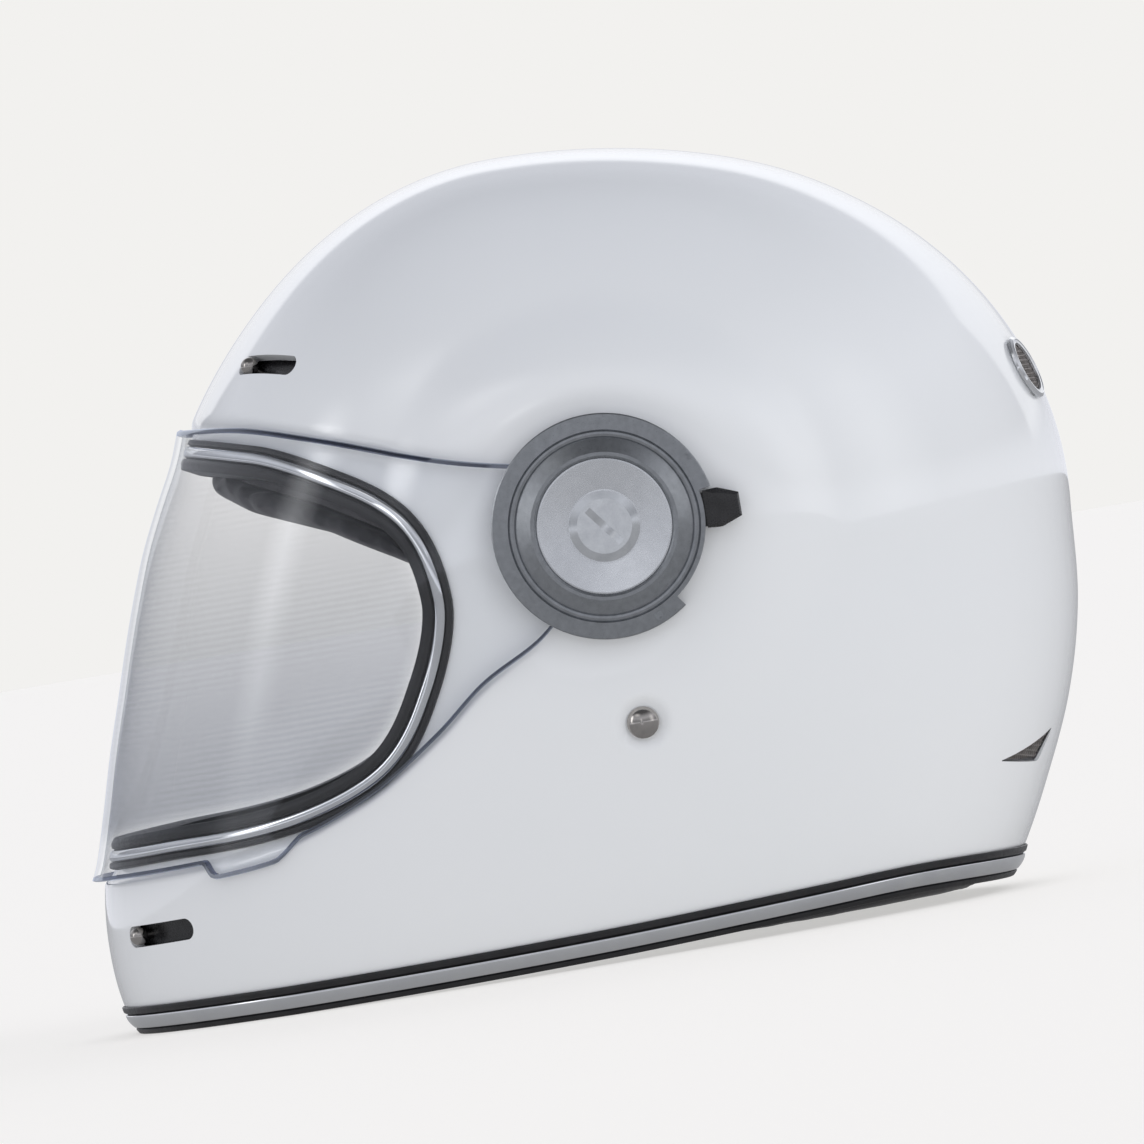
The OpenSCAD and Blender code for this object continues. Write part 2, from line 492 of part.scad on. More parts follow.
// The two sides of a band of thickness t along a path of [x, z] points.
function path_side(path, o) = [for (i = [0 : len(path) - 1])
    let (a = path[max(i - 1, 0)], b = path[min(i + 1, len(path) - 1)], u = unit(b - a))
    path[i] + o * [-u[1], u[0]]];
function flat_band(path, t) = concat(path_side(path, t / 2),
    [for (i = [len(path) - 1 : -1 : 0]) path_side(path, -t / 2)[i]]);
module along_y(w) translate([0, strap_y + w / 2, 0]) rotate([90, 0, 0]) linear_extrude(w) children();
module chin_strap(right = false) color([0.08, 0.08, 0.08]) mirrored(right) difference() {
    union() {
        along_y(strap_w) polygon(flat_band(concat(STRAP, [[55.6, strap_top]]), strap_t));
        if (right) along_y(strap_w) translate([53, strap_top - 16]) square([2.6, 16]);
        else along_y(22) translate(ring_bar) circle(r = 5.7, $fn = 48);
    }
    translate([100, strap_y, rivet_z]) rotate([0, 90, 0]) cylinder(r = rivet_r + 0.1, h = 30, $fn = 32);
    if (!right) along_y(40) translate(ring_bar) circle(r = 4.2, $fn = 48);
}
module d_ring(dx) color("silver") translate([ring_bar[0] + dx, strap_y, ring_bar[1]]) {
    rotate([90, 0, 0]) cylinder(r = 1.8, h = 32, center = true, $fn = 32);
    intersection() {
        rotate([0, 90, 0]) rotate_extrude($fn = 64) translate([14.2, 0]) circle(r = 1.8, $fn = 32);
        translate([-5, -20, -40]) cube([10, 40, 40]);
    }
}
module strap_snap() color("silver") mirrored(true) translate([0, strap_y, strap_top - 8]) rotate([0, 90, 0]) {
    translate([0, 0, 51]) cylinder(r = 6, h = 1.9, $fn = 48);
    translate([0, 0, 50.2]) cylinder(r = 4, h = 1, $fn = 48);
}

module vent_slider(slot, right) color([0.06, 0.06, 0.06]) mirrored(right) {
    arc = arc_of(slot);
    arc_sector(arc, -arc[3] / 2 - degrees_of(arc, 2), arc[3] / 2 + degrees_of(arc, 1),
        band(arc[2] - slot_play - slider_t / 2, arc[2] - slot_play + slider_t / 2, slider_half_w));
}
module vent_knob(slot, right) color("silver") mirrored(right) {
    arc = arc_of(slot);
    on_arc(arc) rotate([0, 90, -arc[3] / 2 + degrees_of(arc, 5)]) {
        translate([0, 0, arc[2] - slot_play + slider_t / 2]) cylinder(r = 1.6, h = slot_play - 2, $fn = 32);
        translate([0, 0, arc[2] + knob_lift]) sphere(d = knob_d, $fn = 48);
    }
}
module vent_track(slot, right) color([0.05, 0.05, 0.05]) mirrored(right) {
    arc = arc_of(slot);
    r = arc[2];
    inner = slider_half_w + 0.4;
    arc_sector(arc, -arc[3] / 2 - degrees_of(arc, 4), arc[3] / 2 + degrees_of(arc, knob_travel + 2.5),
        [[r - track_depth, -track_half_w], [r - slot_play + 1, -track_half_w], [r - slot_play + 1, -inner],
         [r - slot_play - 1.4, -inner], [r - slot_play - 1.4, inner], [r - slot_play + 1, inner],
         [r - slot_play + 1, track_half_w], [r - track_depth, track_half_w]]);
}
module rear_vent_ring(right = false) color("silver") mirrored(right)
    on_surface(rear_vent_at[0], rear_vent_at[1]) rotate_extrude($fn = 64)
        polygon([[8.5, -4], [9.4, -4], [9.4, 0.15], [rear_vent_r, 0.15], [rear_vent_r, 0.9],
            [10.2, 1.5], [8.9, 1.3], [8.5, 0.7]]);
module rear_vent_mesh(right = false) color("gray") mirrored(right)
    on_surface(rear_vent_at[0], rear_vent_at[1])
        translate([0, 0, -0.5]) cylinder(r = 8.4, h = 0.6, $fn = 64);
module grille_shape(h, depth, grow) on_surface(grille_mid[0], grille_mid[1]) {
    p0 = skin_at(grille_mid[0], grille_mid[1]);
    n = normal_at(grille_mid[0], grille_mid[1]);
    v = unit(cross(n, skin_at(grille_mid[0] + 1, grille_mid[1]) - skin_at(grille_mid[0] - 1, grille_mid[1])));
    u = cross(v, n);
    corners = [for (c = GRILLE) let (q = skin_at(c[0], c[1]) - p0) [q * u, q * v]];
    mid = (corners[0] + corners[1] + corners[2]) / 3;
    translate([0, 0, h]) linear_extrude(depth)
        polygon([for (c = corners) c + unit(c - mid) * (grow - grille_round)]);
}
module rear_grille(right = false) color("gray") mirrored(right) grille_shape(-2.6, 1.2, -0.2);

outer_shell();
eps_crown_liner();
eps_chin_liner();
comfort_crown_liner();
brow_pad();
cheek_pad();  // cheek_pad_left
cheek_pad(true);  // cheek_pad_right
neck_roll();
eyeport_gasket();
eyeport_trim();
rim_gasket();
rim_trim();
visor();
pivot_insert();  // pivot_insert_left
pivot_insert(true);  // pivot_insert_right
pivot_base();  // pivot_base_left
pivot_base(true);  // pivot_base_right
pivot_cover();  // pivot_cover_left
pivot_cover(true);  // pivot_cover_right
pivot_washer();  // pivot_washer_left
pivot_washer(true);  // pivot_washer_right
pivot_dish();  // pivot_dish_left
pivot_dish(true);  // pivot_dish_right
pivot_screw();  // pivot_screw_left
pivot_screw(true);  // pivot_screw_right
lock_lever();  // lock_lever_left
lock_lever(true);  // lock_lever_right
base_screws();
strap_rivets();
strap_anchor();  // strap_anchor_left
strap_anchor(true);  // strap_anchor_right
chin_strap();  // chin_strap_left
chin_strap(true);  // chin_strap_right
d_ring(2.05);  // d_ring_front
d_ring(-2.05);  // d_ring_rear
strap_snap();
vent_slider(CHIN_SLOT, false);  // chin_vent_slider_left
vent_slider(CHIN_SLOT, true);  // chin_vent_slider_right
vent_knob(CHIN_SLOT, false);  // chin_vent_knob_left
vent_knob(CHIN_SLOT, true);  // chin_vent_knob_right
vent_track(CHIN_SLOT, false);  // chin_vent_track_left
vent_track(CHIN_SLOT, true);  // chin_vent_track_right
vent_slider(BROW_SLOT, false);  // brow_vent_slider_left
vent_slider(BROW_SLOT, true);  // brow_vent_slider_right
vent_knob(BROW_SLOT, false);  // brow_vent_knob_left
vent_knob(BROW_SLOT, true);  // brow_vent_knob_right
vent_track(BROW_SLOT, false);  // brow_vent_track_left
vent_track(BROW_SLOT, true);  // brow_vent_track_right
rear_vent_ring();  // rear_vent_ring_left
rear_vent_ring(true);  // rear_vent_ring_right
rear_vent_mesh();  // rear_vent_mesh_left
rear_vent_mesh(true);  // rear_vent_mesh_right
rear_grille();  // rear_grille_left
rear_grille(true);  // rear_grille_right
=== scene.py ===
import math
import bmesh
import bpy
import numpy as np
from mathutils import Matrix, Vector
from mathutils.kdtree import KDTree


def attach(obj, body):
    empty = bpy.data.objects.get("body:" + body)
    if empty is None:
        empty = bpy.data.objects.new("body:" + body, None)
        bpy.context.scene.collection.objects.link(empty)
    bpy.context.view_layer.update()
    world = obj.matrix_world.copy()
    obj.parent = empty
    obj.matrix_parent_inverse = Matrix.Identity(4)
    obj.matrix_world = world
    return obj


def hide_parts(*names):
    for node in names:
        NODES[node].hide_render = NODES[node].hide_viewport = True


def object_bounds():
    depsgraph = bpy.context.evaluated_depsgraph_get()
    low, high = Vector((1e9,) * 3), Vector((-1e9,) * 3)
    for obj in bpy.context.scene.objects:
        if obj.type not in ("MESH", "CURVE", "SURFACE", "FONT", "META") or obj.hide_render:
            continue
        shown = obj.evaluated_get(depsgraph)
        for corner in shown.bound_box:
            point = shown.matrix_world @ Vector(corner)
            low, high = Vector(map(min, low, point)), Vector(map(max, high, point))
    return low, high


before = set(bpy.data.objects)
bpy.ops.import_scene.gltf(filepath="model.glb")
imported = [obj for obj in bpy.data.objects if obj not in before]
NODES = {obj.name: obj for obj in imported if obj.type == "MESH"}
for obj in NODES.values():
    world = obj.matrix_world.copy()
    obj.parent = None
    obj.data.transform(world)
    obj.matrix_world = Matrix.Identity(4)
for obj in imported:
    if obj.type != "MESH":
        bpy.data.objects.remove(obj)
CAD_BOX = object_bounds()
MM = 0.001

# ---------------------------------------------------------------- camera
ROLL = math.radians(9.55)
DISTANCE, CAM_Y, CAM_Z = 4.0, 0.00296, 0.12627
HALF_VIEW = 0.18876     # half of the frame's width at the helmet's middle plane
cam_data = bpy.data.cameras.new("camera")
cam = bpy.data.objects.new("camera", cam_data)
bpy.context.scene.collection.objects.link(cam)
right = Vector((0, math.cos(ROLL), -math.sin(ROLL)))
up = Vector((0, math.sin(ROLL), math.cos(ROLL)))
back = Vector((1, 0, 0))
cam.matrix_world = Matrix((
    (right.x, up.x, back.x, DISTANCE),
    (right.y, up.y, back.y, CAM_Y),
    (right.z, up.z, back.z, CAM_Z),
    (0, 0, 0, 1)))
cam_data.angle = 2 * math.atan(HALF_VIEW / DISTANCE)
cam_data.clip_start, cam_data.clip_end = 0.05, 200
bpy.context.scene.camera = cam

# ---------------------------------------------------------------- the helmet's surface, as in the CAD source (mm)
SHELL_W, WIDEST, DOME, WALL, BED = 124, 123, 142, 3.6, 3
V_WALL, V_PROUD = 2.2, 1.6
PIVOT = (15.6, 139)
FRONT_LOW = [[0, -161.5], [10, -166.3], [30, -168], [50, -166], [70, -160.5], [95, -152], [123, -142]]
FRONT_DOME = [[0, 142], [8, 136.5], [16, 133.5], [30, 131], [50, 127], [90, 124.5]]
REAR_LOW = [[0, 126], [10, 133.5], [30, 144.5], [60, 158], [90, 166], [123, 169]]
REAR_DOME = [[0, 169], [30, 175.5], [50, 181.5], [65, 188], [90, 187]]
WIDTH_LOW = [[0, -23.5], [10, -19.5], [30, -13], [60, -6], [90, -1.5], [123, 0]]
MIDDLE_LOW = [[0, -14], [30, -8], [60, 0], [90, 7], [123, 10]]
VISOR_FRONT = [[50, -171], [56, -168], [72, -163], [92, -157.3], [110, -151.5], [126, -146.4],
               [141, -141.2], [156, -135.4], [170, -128.6], [183, -121.8], [194, -117.6]]
VISOR_TOP = [[0, 193.5], [35, 190], [56, 181], [76.5, 167], [87, 161]]
VISOR_LOW = [[0, 52], [41, 53], [56, 56.5], [66, 67], [73, 81.5], [78, 95], [84, 105.5], [87, 114]]
BED_LOW = [[-172, 50], [-130, 50.5], [-100, 54], [-87, 58], [-69, 65.5], [-47, 80], [-32, 92], [-12, 103],
           [0, 107]]
BED_TOP = [[-125, 195], [-95, 191], [-67, 182], [-27, 168], [0, 160]]
EYEPORT = [[-80, -38, 178.5], [0, 0, 185], [80, 38, 178.5], [122, 57, 165], [148, 67.5, 149],
           [173, 71.5, 124], [198, 70, 99], [226, 65, 75], [252, 53, 64.5], [300, 30, 62],
           [360, 0, 61], [420, -30, 62]]
EYE_LEN = 360
RIM_LIFT = [[-170, 0], [-110, 0], [-9, 1.6], [60, 4], [95, 5], [135, 3.4]]
PLAN, CROWN = 2.2, 2.25
EAR_X, EAR_R, FLAT_X, FLAT_R, FLAT_FADE = 124.2, 27, 122, 38, 76
rad = np.radians


def curve(table, v, c=1):
    t = np.array(table, float)
    x, y, n = t[:, 0], t[:, c], len(t)
    slope = np.array([(y[min(i + 1, n - 1)] - y[max(i - 1, 0)]) / (x[min(i + 1, n - 1)] - x[max(i - 1, 0)])
                      for i in range(n)])
    v = np.asarray(v, float)
    i = np.clip(np.searchsorted(x, v, side="right") - 1, 0, n - 2)
    h = x[i + 1] - x[i]
    s = (v - x[i]) / h
    return ((1 + 2 * s) * (1 - s) ** 2 * y[i] + s * (1 - s) ** 2 * h * slope[i]
            + s * s * (3 - 2 * s) * y[i + 1] - s * s * (1 - s) * h * slope[i + 1])


def smooth(v):
    c = np.clip(v, 0, 1)
    return c * c * (3 - 2 * c)


def spow(v, p):
    return np.sign(v) * np.abs(v) ** p


def level(z):
    z = np.asarray(z, float)
    return np.where(z <= WIDEST, z, WIDEST + np.degrees(np.arcsin(np.clip((z - WIDEST) / DOME, -1, 1))))


def lows(s):
    return np.minimum(s, WIDEST)


def domes(s):
    return np.clip(s - WIDEST, 0, 90)


def dome_reach(table, s, d):
    return (curve(table, domes(s)) - d) * np.cos(rad(domes(s)))


def front(s, d):
    return np.where(s <= WIDEST, curve(FRONT_LOW, lows(s)) + d, -dome_reach(FRONT_DOME, s, d))


def rear(s, d):
    return np.where(s <= WIDEST, curve(REAR_LOW, lows(s)) - d, dome_reach(REAR_DOME, s, d))


def half_w(s, d):
    k = np.clip(1 - np.sin(rad(domes(s))) ** CROWN, 0, 1) ** (1 / CROWN)
    return np.where(s <= WIDEST, SHELL_W + curve(WIDTH_LOW, lows(s)) - d, (SHELL_W - d) * k)


def middle(s):
    return np.where(s <= WIDEST, curve(MIDDLE_LOW, lows(s)), 10 * np.cos(rad(domes(s))))


def ring(t, s, d, fr):
    t, s = np.broadcast_arrays(np.asarray(t, float), np.asarray(s, float))
    m, c, si = middle(s), np.cos(rad(t)), np.sin(rad(t))
    length = np.where(c >= 0, m - fr, rear(s, d) - m)
    z = np.where(s <= WIDEST, s, WIDEST + (DOME - d) * np.sin(rad(domes(s))))
    return np.stack([half_w(s, d) * spow(si, 2 / PLAN), m - length * spow(c, 2 / PLAN), z], -1)


def base(t, s, d=0.0):
    s = np.asarray(s, float)
    return ring(t, s, d, front(s, d))


def bed(p):
    y = np.minimum(p[..., 1], 0)
    return (BED * smooth((p[..., 2] - curve(BED_LOW, y)) / 4) * smooth((-2 - p[..., 1]) / 12)
            * smooth((curve(BED_TOP, y) + 3 - p[..., 2]) / 9))


def land(p, x):
    r = np.hypot(p[..., 1] - PIVOT[0], p[..., 2] - PIVOT[1])
    f = np.where(np.abs(p[..., 0]) < 60, 0, 1 - smooth((r - FLAT_R) / (FLAT_FADE - FLAT_R)))
    q = p.copy()
    q[..., 0] += f * (np.sign(p[..., 0]) * x - p[..., 0])
    return q


def skin(t, s, d=0.0):
    dd = d + bed(base(t, s))
    s = np.asarray(s, float)
    return land(ring(t, s, dd, front(s, dd)), FLAT_X - d)


def visor_pt(t, z, d):
    z = np.asarray(z, float)
    p = ring(t, level(z), d - V_PROUD, curve(VISOR_FRONT, z) + d)
    p[..., 2] = z
    return land(p, EAR_X + V_WALL - d)


def side_ts(y, z):
    s = level(z)
    m = middle(s)
    length = np.where(y < m, m - front(s, 0), rear(s, 0) - m)
    c = np.clip(np.abs(y - m) / length, 0, 1) ** (PLAN / 2)
    a = np.degrees(np.arccos(c))
    return np.where(y < m, a, 180 - a), s


def unit(v):
    return v / np.linalg.norm(v, axis=-1, keepdims=True)


def normal(t, s):
    return unit(np.cross(skin(t, s + 0.3) - skin(t, s - 0.3), skin(t - 0.3, s) - skin(t + 0.3, s)))


def skin_at(y, z, d=0.0):
    t, s = side_ts(np.float64(y), np.float64(z))
    return skin(t, s, d)


def normal_at(y, z):
    return normal(*side_ts(np.float64(y), np.float64(z)))


def rim_z(y):
    return np.maximum(0, curve(RIM_LIFT, y))


def frame_at(y, z):
    """Origin, u (towards the back), v and n on the left half of the shell."""
    p, n = skin_at(y, z), normal_at(y, z)
    v = unit(np.cross(n, skin_at(y + 1, z) - skin_at(y - 1, z)))
    return p, np.cross(v, n), v, n


# ---------------------------------------------------------------- meshes
def link(name, mesh):
    ob = bpy.data.objects.new(name, mesh)
    bpy.context.scene.collection.objects.link(ob)
    return ob


def piece(name, verts, faces, material, body="shell", sharp=35, replaces=(), mirror=False):
    """A new piece from millimetres. mirror turns a left-hand piece into a right-hand one."""
    v = np.array(verts, float).reshape(-1, 3) * MM
    if mirror:
        v = v * [-1, 1, 1]
        faces = [tuple(reversed(f)) for f in faces]
    me = bpy.data.meshes.new(name)
    me.from_pydata(v.tolist(), [], [tuple(int(i) for i in f) for f in faces])
    me.validate()
    me.materials.append(material)
    ob = link(name, me)
    dress(ob, body, sharp, replaces)
    return ob


def shade(ob, sharp):
    """Smooth faces, with hard edges where they meet at more than sharp degrees."""
    ob.data.polygons.foreach_set("use_smooth", [True] * len(ob.data.polygons))
    if sharp:
        ob.data.set_sharp_from_angle(angle=math.radians(sharp))


def dress(ob, body, sharp=35, replaces=()):
    shade(ob, sharp)
    if replaces:
        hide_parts(*replaces)
    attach(ob, body)


def grid_faces(rows, cols, closed=False, flip=False, start=0):
    out = []
    for i in range(rows - 1):
        for j in range(cols if closed else cols - 1):
            a, b = start + i * cols + j, start + i * cols + (j + 1) % cols
            q = (a, b, b + cols, a + cols)
            out.append(tuple(reversed(q)) if flip else q)
    return out


def loops(sections, closed=False):
    """Faces of a sweep: closed sections in rows, joined end to end if closed, else capped."""
    rows, n = len(sections), len(sections[0])
    out = []
    for i in range(rows if closed else rows - 1):
        k = (i + 1) % rows
        for j in range(n):
            m = (j + 1) % n
            out.append((i * n + j, i * n + m, k * n + m, k * n + j))
    if not closed:
        out += [tuple(range(n - 1, -1, -1)), tuple((rows - 1) * n + j for j in range(n))]
    return out


def outward(ob):
    """Turns every face outwards."""
    bm = bmesh.new()
    bm.from_mesh(ob.data)
    bmesh.ops.recalc_face_normals(bm, faces=bm.faces)
    bm.to_mesh(ob.data)
    bm.free()


def baked(ob):
    """The object's mesh with its modifiers, as a new mesh."""
    dg = bpy.context.evaluated_depsgraph_get()
    dg.update()
    return bpy.data.meshes.new_from_object(ob.evaluated_get(dg), preserve_all_data_layers=True, depsgraph=dg)


def cut(ob, cutters):
    """Cuts closed meshes (mm) out of a closed piece."""
    for k, (verts, faces) in enumerate(cutters):
        me = bpy.data.meshes.new("cutter")
        me.from_pydata((np.array(verts) * MM).tolist(), [], faces)
        c = link("cutter", me)
        outward(c)
        m = ob.modifiers.new("cut", "BOOLEAN")
        m.operation, m.solver, m.object = "DIFFERENCE", "MANIFOLD", c
        new = baked(ob)
        ob.modifiers.remove(m)
        if len(new.polygons) < 10:
            raise RuntimeError("cutter %d emptied %s" % (k, ob.name))
        old = ob.data
        ob.data = new
        bpy.data.meshes.remove(old)
        bpy.data.objects.remove(c)


def prism(low, high):
    n = len(low)
    v = list(low) + list(high)
    f = [tuple(range(n - 1, -1, -1)), tuple(range(n, 2 * n))]
    f += [(i, (i + 1) % n, n + (i + 1) % n, n + i) for i in range(n)]
    return [list(map(float, p)) for p in v], f


def tube(points, r, n=8, closed=False):
    """Round tube along points (mm)."""
    p = np.array(points, float)
    if closed:
        d = np.roll(p, -1, 0) - np.roll(p, 1, 0)
    else:
        d = np.gradient(p, axis=0)
    d = unit(d)
    ref = np.array([0.123, 0.456, 0.881])    # no tube here runs this way
    out, last = [], None
    for i in range(len(p)):
        a = np.cross(d[i], ref) if last is None else last - d[i] * np.dot(last, d[i])
        a = a / np.linalg.norm(a)
        last = a
        b = np.cross(d[i], a)
        rr = r[i] if hasattr(r, "__len__") else r
        turns = [2 * math.pi * k / n for k in range(n)]
        out.append([p[i] + rr * (a * math.cos(q) + b * math.sin(q)) for q in turns])
    return out, loops(out, closed)


def gather(parts):
    """Joins (sections, faces) pairs into one vertex and face list."""
    v, f = [], []
    for s, fc in parts:
        flat = [p for row in s for p in row] if np.ndim(s[0]) == 2 else list(s)
        f += [tuple(i + len(v) for i in q) for q in fc]
        v += flat
    return v, f


# ---------------------------------------------------------------- materials
def nodes_of(m):
    m.use_nodes = True
    t = m.node_tree
    return t, t.nodes["Principled BSDF"]


def chain(t, kind, **kw):
    n = t.nodes.new(kind)
    for k, v in kw.items():
        if k in n.inputs:
            n.inputs[k].default_value = v
        else:
            setattr(n, k, v)
    return n


def ranged(t, source, lo, hi, lo_in=0.3, hi_in=0.7):
    m = chain(t, "ShaderNodeMapRange")
    t.links.new(source, m.inputs["Value"])
    for k, v in (("From Min", lo_in), ("From Max", hi_in), ("To Min", lo), ("To Max", hi)):
        m.inputs[k].default_value = v
    return m.outputs["Result"]


def material(name, color, dark, rough, scale=400, metal=0.0, bump=0.0, bump_scale=None, bump_mm=0.05,
             coat=0.0, sheen=0.0, pattern=None, aniso=0.0):
    """A surface whose colour, roughness and height all vary on their own scales."""
    m = bpy.data.materials.new(name)
    t, b = nodes_of(m)
    co = chain(t, "ShaderNodeTexCoord").outputs["Object"]
    big = chain(t, "ShaderNodeTexNoise", Scale=scale * 0.12, Detail=4.0)
    fine = chain(t, "ShaderNodeTexNoise", Scale=float(scale), Detail=3.0)
    for n in (big, fine):
        t.links.new(co, n.inputs["Vector"])
    ramp = chain(t, "ShaderNodeValToRGB")
    ramp.color_ramp.elements[0].position, ramp.color_ramp.elements[1].position = 0.3, 0.7
    ramp.color_ramp.elements[0].color = (*dark, 1)
    ramp.color_ramp.elements[1].color = (*color, 1)
    t.links.new(big.outputs["Fac"], ramp.inputs["Fac"])
    t.links.new(ramp.outputs["Color"], b.inputs["Base Color"])
    t.links.new(ranged(t, fine.outputs["Fac"], rough[0], rough[1]), b.inputs["Roughness"])
    b.inputs["Metallic"].default_value = metal
    b.inputs["Specular IOR Level"].default_value = 0.5
    b.inputs["Coat Weight"].default_value = coat
    b.inputs["Coat Roughness"].default_value = 0.03
    b.inputs["Sheen Weight"].default_value = sheen
    b.inputs["Anisotropic"].default_value = aniso
    height = None
    if pattern:
        height = pattern(t, co)
    elif bump:
        g = chain(t, "ShaderNodeTexNoise", Scale=float(bump_scale or scale), Detail=2.0)
        t.links.new(co, g.inputs["Vector"])
        height = g.outputs["Fac"]
    if height is not None:
        bp = chain(t, "ShaderNodeBump", Strength=bump, Distance=bump_mm * MM)
        t.links.new(height, bp.inputs["Height"])
        t.links.new(bp.outputs["Normal"], b.inputs["Normal"])
    if aniso:
        tan = chain(t, "ShaderNodeTangent", direction_type="RADIAL", axis="X")
        t.links.new(tan.outputs["Tangent"], b.inputs["Tangent"])
    return m


WAVE = 1000 * 2 * math.pi / 20    # a wave texture's scale for bands 1 mm apart


def weave(pitch_mm, turn=(0, 0, 0), mix=0.5):
    """Two crossed waves: a woven or knitted ground."""
    def build(t, co):
        mp = chain(t, "ShaderNodeMapping")
        mp.inputs["Rotation"].default_value = turn
        t.links.new(co, mp.inputs["Vector"])
        outs = []
        for axis in ("Y", "Z"):
            w = chain(t, "ShaderNodeTexWave", bands_direction=axis, Scale=WAVE / pitch_mm, Distortion=0.4)
            w.inputs["Detail Scale"].default_value = 2.0
            t.links.new(mp.outputs["Vector"], w.inputs["Vector"])
            outs.append(w.outputs["Fac"])
        mx = chain(t, "ShaderNodeMix")
        mx.inputs["Factor"].default_value = mix
        t.links.new(outs[0], mx.inputs["A"])
        t.links.new(outs[1], mx.inputs["B"])
        return mx.outputs["Result"]
    return build


def beads(t, co):
    v = chain(t, "ShaderNodeTexVoronoi", Scale=330.0)
    t.links.new(co, v.inputs["Vector"])
    return v.outputs["Distance"]


WHITE = material("gloss_white_paint", (0.82, 0.835, 0.85), (0.80, 0.82, 0.835), (0.10, 0.14), scale=60, bump=0.05,
                 bump_scale=260, bump_mm=0.02, coat=1.0)
RUBBER = material("black_rubber", (0.018, 0.018, 0.02), (0.010, 0.010, 0.011), (0.32, 0.5), scale=900, bump=0.3,
                  bump_scale=1800, bump_mm=0.03)
CHROME = material("chrome_trim", (0.86, 0.87, 0.88), (0.80, 0.81, 0.83), (0.04, 0.09), scale=700, metal=1.0,
                  bump=0.04, bump_scale=90, bump_mm=0.1)
BLACK = material("black_plastic", (0.022, 0.022, 0.024), (0.013, 0.013, 0.014), (0.22, 0.36), scale=1500, bump=0.15,
                 bump_scale=2500, bump_mm=0.02)
COVER = material("cover_grey_metal", (0.37, 0.385, 0.405), (0.31, 0.325, 0.34), (0.26, 0.40), scale=4200, metal=1.0,
                 bump=0.25, bump_scale=5200, bump_mm=0.012)
STEEL = material("steel", (0.76, 0.78, 0.80), (0.68, 0.70, 0.72), (0.14, 0.22), scale=2500, metal=1.0, bump=0.1,
                 bump_scale=3000, bump_mm=0.01)
RIVET = material("polished_rivet", (0.50, 0.475, 0.45), (0.40, 0.38, 0.36), (0.08, 0.16), scale=1800,
                 metal=1.0, bump=0.06, bump_scale=1500, bump_mm=0.02)
SPUN = material("spun_steel", (0.88, 0.90, 0.93), (0.82, 0.84, 0.87), (0.25, 0.30), scale=2500, metal=1.0, aniso=0.75)
WIRE = material("wire_mesh", (0.50, 0.47, 0.45), (0.36, 0.33, 0.31), (0.25, 0.4), scale=2500, metal=1.0, bump=0.1,
                bump_scale=3000, bump_mm=0.01)
FOAM = material("foam_liner", (0.085, 0.085, 0.09), (0.06, 0.06, 0.065), (0.75, 0.95), scale=900, bump=0.5,
                pattern=beads, bump_mm=0.5)
KNIT = material("knit_lining", (0.030, 0.030, 0.034), (0.018, 0.018, 0.021), (0.75, 0.95), scale=1200, bump=0.55,
                pattern=weave(1.3, (0.5, 0, 0)), bump_mm=0.25, sheen=0.35)
SUEDE = material("suede_lining", (0.036, 0.036, 0.040), (0.026, 0.026, 0.030), (0.8, 1.0), scale=500, bump=0.15,
                 bump_scale=4200, bump_mm=0.05, sheen=0.25)
WEBBING = material("strap_webbing", (0.03, 0.03, 0.032), (0.016, 0.016, 0.018), (0.5, 0.7), scale=1500, bump=0.8,
                   pattern=weave(1.6), bump_mm=0.3, sheen=0.2)
THREAD = material("thread", (0.16, 0.16, 0.17), (0.10, 0.10, 0.11), (0.5, 0.7), scale=3000, bump=0.3, bump_scale=3500,
                  bump_mm=0.05)


